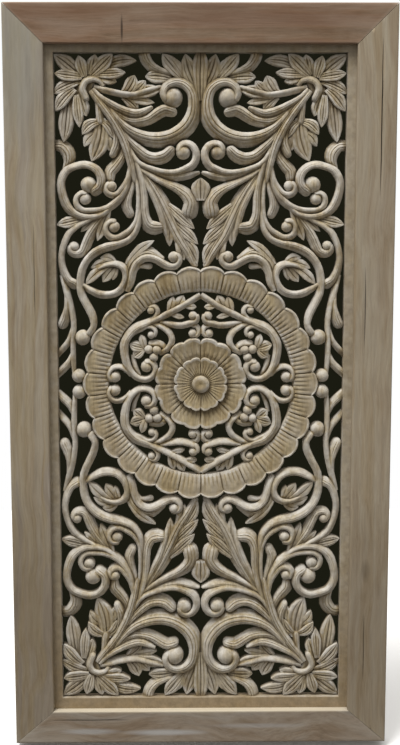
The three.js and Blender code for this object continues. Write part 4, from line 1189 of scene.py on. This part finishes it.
# %% Carving: crests, cuts and margin
film = add(tree, "ShaderNodeTexNoise",
           {"Vector": place, "Scale": 1 / (FILM * MM), "Detail": 5.0, "Roughness": 0.7})
# Lime and a painted highlight: the crests are whitened, in patches where the lime film is kept.
crest = add(tree, "ShaderNodeMapRange", {"Value": fine, "From Min": 0.53, "From Max": 0.75})
kept = add(tree, "ShaderNodeMapRange",
           {"Value": film, "From Min": 0.38, "From Max": 0.6, "To Min": 0.15, "To Max": 0.75})
lime_and_highlight = add(tree, "ShaderNodeMath", {0: crest, 1: kept}, operation="MULTIPLY")
colour = over(tree, colour, "#cac6be", lime_and_highlight)
# Painted shade, with some dust: the thin cuts are darkened.
cut = add(tree, "ShaderNodeMapRange", {"Value": fine, "From Min": 0.46, "From Max": 0.25, "To Max": 0.6})
colour = over(tree, colour, "#483b26", cut)
colour = over(tree, colour, "#94866e", flat, 0.75)
low = spot(tree, place, (0, -24, -1125), (420, 60, 230))
foot = add(tree, "ShaderNodeMath", {0: low, 1: flat}, operation="MULTIPLY")
colour = over(tree, colour, "#7f6a49", foot, 0.7)
print("with crests, cuts and margin", len(tree.nodes), "nodes")

# %% Carving: plain back and tool marks
toward = add(tree, "ShaderNodeSeparateXYZ", {0: add(tree, "ShaderNodeNewGeometry").outputs["Normal"]})
behind = add(tree, "ShaderNodeMapRange", {"Value": toward.outputs["Y"], "From Min": 0.6, "From Max": 0.9})
colour = add(tree, "ShaderNodeMix", {0: behind, 6: colour, 7: bare}, data_type="RGBA")
facets = add(tree, "ShaderNodeTexNoise", {"Vector": place, "Scale": 1 / (FACET * MM), "Detail": 2.0})
mottle = add(tree, "ShaderNodeMapRange",
             {"Value": facets, "From Min": 0.3, "From Max": 0.7, "To Min": 0.86, "To Max": 1.12})
mottled = add(tree, "ShaderNodeMix", {0: 1.0, 6: colour, 7: mottle}, data_type="RGBA", blend_type="MULTIPLY")
finish_wood(tree, mottled, pores, facets)
print(limed_carving.name, len(tree.nodes), "nodes")

# %% [markdown]
# ## Finish of the frame
#
# Each member was cut from another board: the head rail is a redder brown, the left upright is yellowish, the
# right one is greyer with darker streaks, and the foot rail has a wavy figure. They share the recipe and
# differ in tones. Handling has rubbed the arrises pale, and a painted highlight makes them paler, most of all
# on the foot rail, whose up-facing inner ledge also has a painted pale strip. Dust has darkened the foot of
# both uprights, and a few stains and a knot are set where they lie.

# %% Frame woods
# For each member its material, the arguments of limed_wood, and how strongly its arrises are paled, by wear
# and a painted highlight.
FRAME_WOODS = {
    left_piece: ("limed_yellow_hardwood", dict(
        grain=2, tones=["#7f715a", "#94866e", "#9f937e", "#aaa08e"], lime="#a8a08f", streak=5,
        lime_share=0.3, seed=1.3, bands=["#978d84", "#9d907b", "#9f8f71", "#948167", "#a09584"]), 0.2),
    right_piece: ("limed_grey_hardwood", dict(
        grain=2, tones=["#85745d", "#988a73", "#a29681", "#a99f8c"], lime="#a69c8c", streak=5,
        lime_share=0.3, seed=2.9, bands=["#8b7860", "#9f9079", "#a49884", "#99876b"]), 0.35),
    top_piece: ("limed_brown_hardwood", dict(
        grain=0, tones=["#6c523e", "#7b6049", "#846b56", "#8d7763"], lime="#9c8d7c", streak=5,
        lime_share=0.3, seed=4.1, bands=["#745f48", "#85684f", "#8c7462", "#7b6450"]), 0.3),
    bottom_piece: ("limed_figured_hardwood", dict(
        grain=0, tones=["#776756", "#877866", "#938573", "#9d9282"], lime="#a39a8d", streak=8, bend=0.08,
        lime_share=0.45, seed=6.7, bands=["#7f6c57", "#908373", "#9a9287", "#87765e"]), 0.8),
}
# Marks on each member: centre and half lengths in millimetres, colour and strength.
STAINS = {
    left_piece: [((-283, -36, -60), (40, 30, 110), "#8f8e84", 0.5),
                 ((-280, -36, -1000), (60, 30, 260), "#5f4f38", 0.4)],
    right_piece: [((270, -36, -875), (7, 30, 17), "#4a3e30", 0.4),
                  ((280, -36, -1010), (60, 30, 230), "#5e4f3b", 0.35)],
    top_piece: [((-122, -36, -9), (1.8, 30, 19), "#241a12", 0.8),
                ((90, -36, 8), (150, 30, 18), "#6d4f3a", 0.5),
                ((-250, -36, 18), (120, 30, 10), "#6c4a30", 0.4)],
    bottom_piece: [((-60, -36, -1151), (60, 30, 5), "#b9b8b6", 0.7),
                   ((-185, -36, -1149), (45, 30, 5), "#b1b0ae", 0.6),
                   ((95, -36, -1140), (70, 30, 4), "#a9a6a2", 0.5),
                   # A painted highlight: a pale strip along the foot rail's up-facing inner ledge.
                   ((0, -30, -1113), (420, 14, 3.5), "#d2c6ad", 0.75)],
}
print(len(FRAME_WOODS), "woods,", sum(len(marks) for marks in STAINS.values()), "marks")

# %% Frame finishes
CRACK_DARK = 1.2            # over 1, so that a crack is black before it is deepest

for piece, (name, wood, wear_and_highlight) in FRAME_WOODS.items():
    material = new_material(name)
    tree, colour, pores, place = limed_wood(material, **wood)
    for centre, reach, stain, strength in STAINS[piece]:
        colour = over(tree, colour, stain, spot(tree, place, centre, reach), strength)
    # Pale arrises: handling wear and a painted highlight, strongest on the foot rail.
    bulge = add(tree, "ShaderNodeNewGeometry").outputs["Pointiness"]
    rubbed_and_highlit = add(tree, "ShaderNodeMapRange", {"Value": bulge, "From Min": 0.53, "From Max": 0.62})
    colour = over(tree, colour, "#b5ab9a", rubbed_and_highlit, wear_and_highlight)
    split = add(tree, "ShaderNodeAttribute", attribute_name="crack").outputs["Fac"]
    colour = over(tree, colour, "#1d160e", split, CRACK_DARK)
    finish_wood(tree, colour, pores)
    piece.data.materials.append(material)
    print(piece.name, material.name)

# %% [markdown]
# ## Tie the looks to the construction
#
# Each finished piece rides on the body of the panel and stands for the solid it covers.

# %% Ride and replace
for piece, node, slot in (
        (board, "carved_board", "carved_wood"),
        (left_piece, "left_stile", "stile_wood"),
        (right_piece, "right_stile", "stile_wood"),
        (top_piece, "top_rail", "top_rail_wood"),
        (bottom_piece, "bottom_rail", "bottom_rail_wood")):
    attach(piece, "root")
    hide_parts(node)
    print(piece.name, "stands for", node)
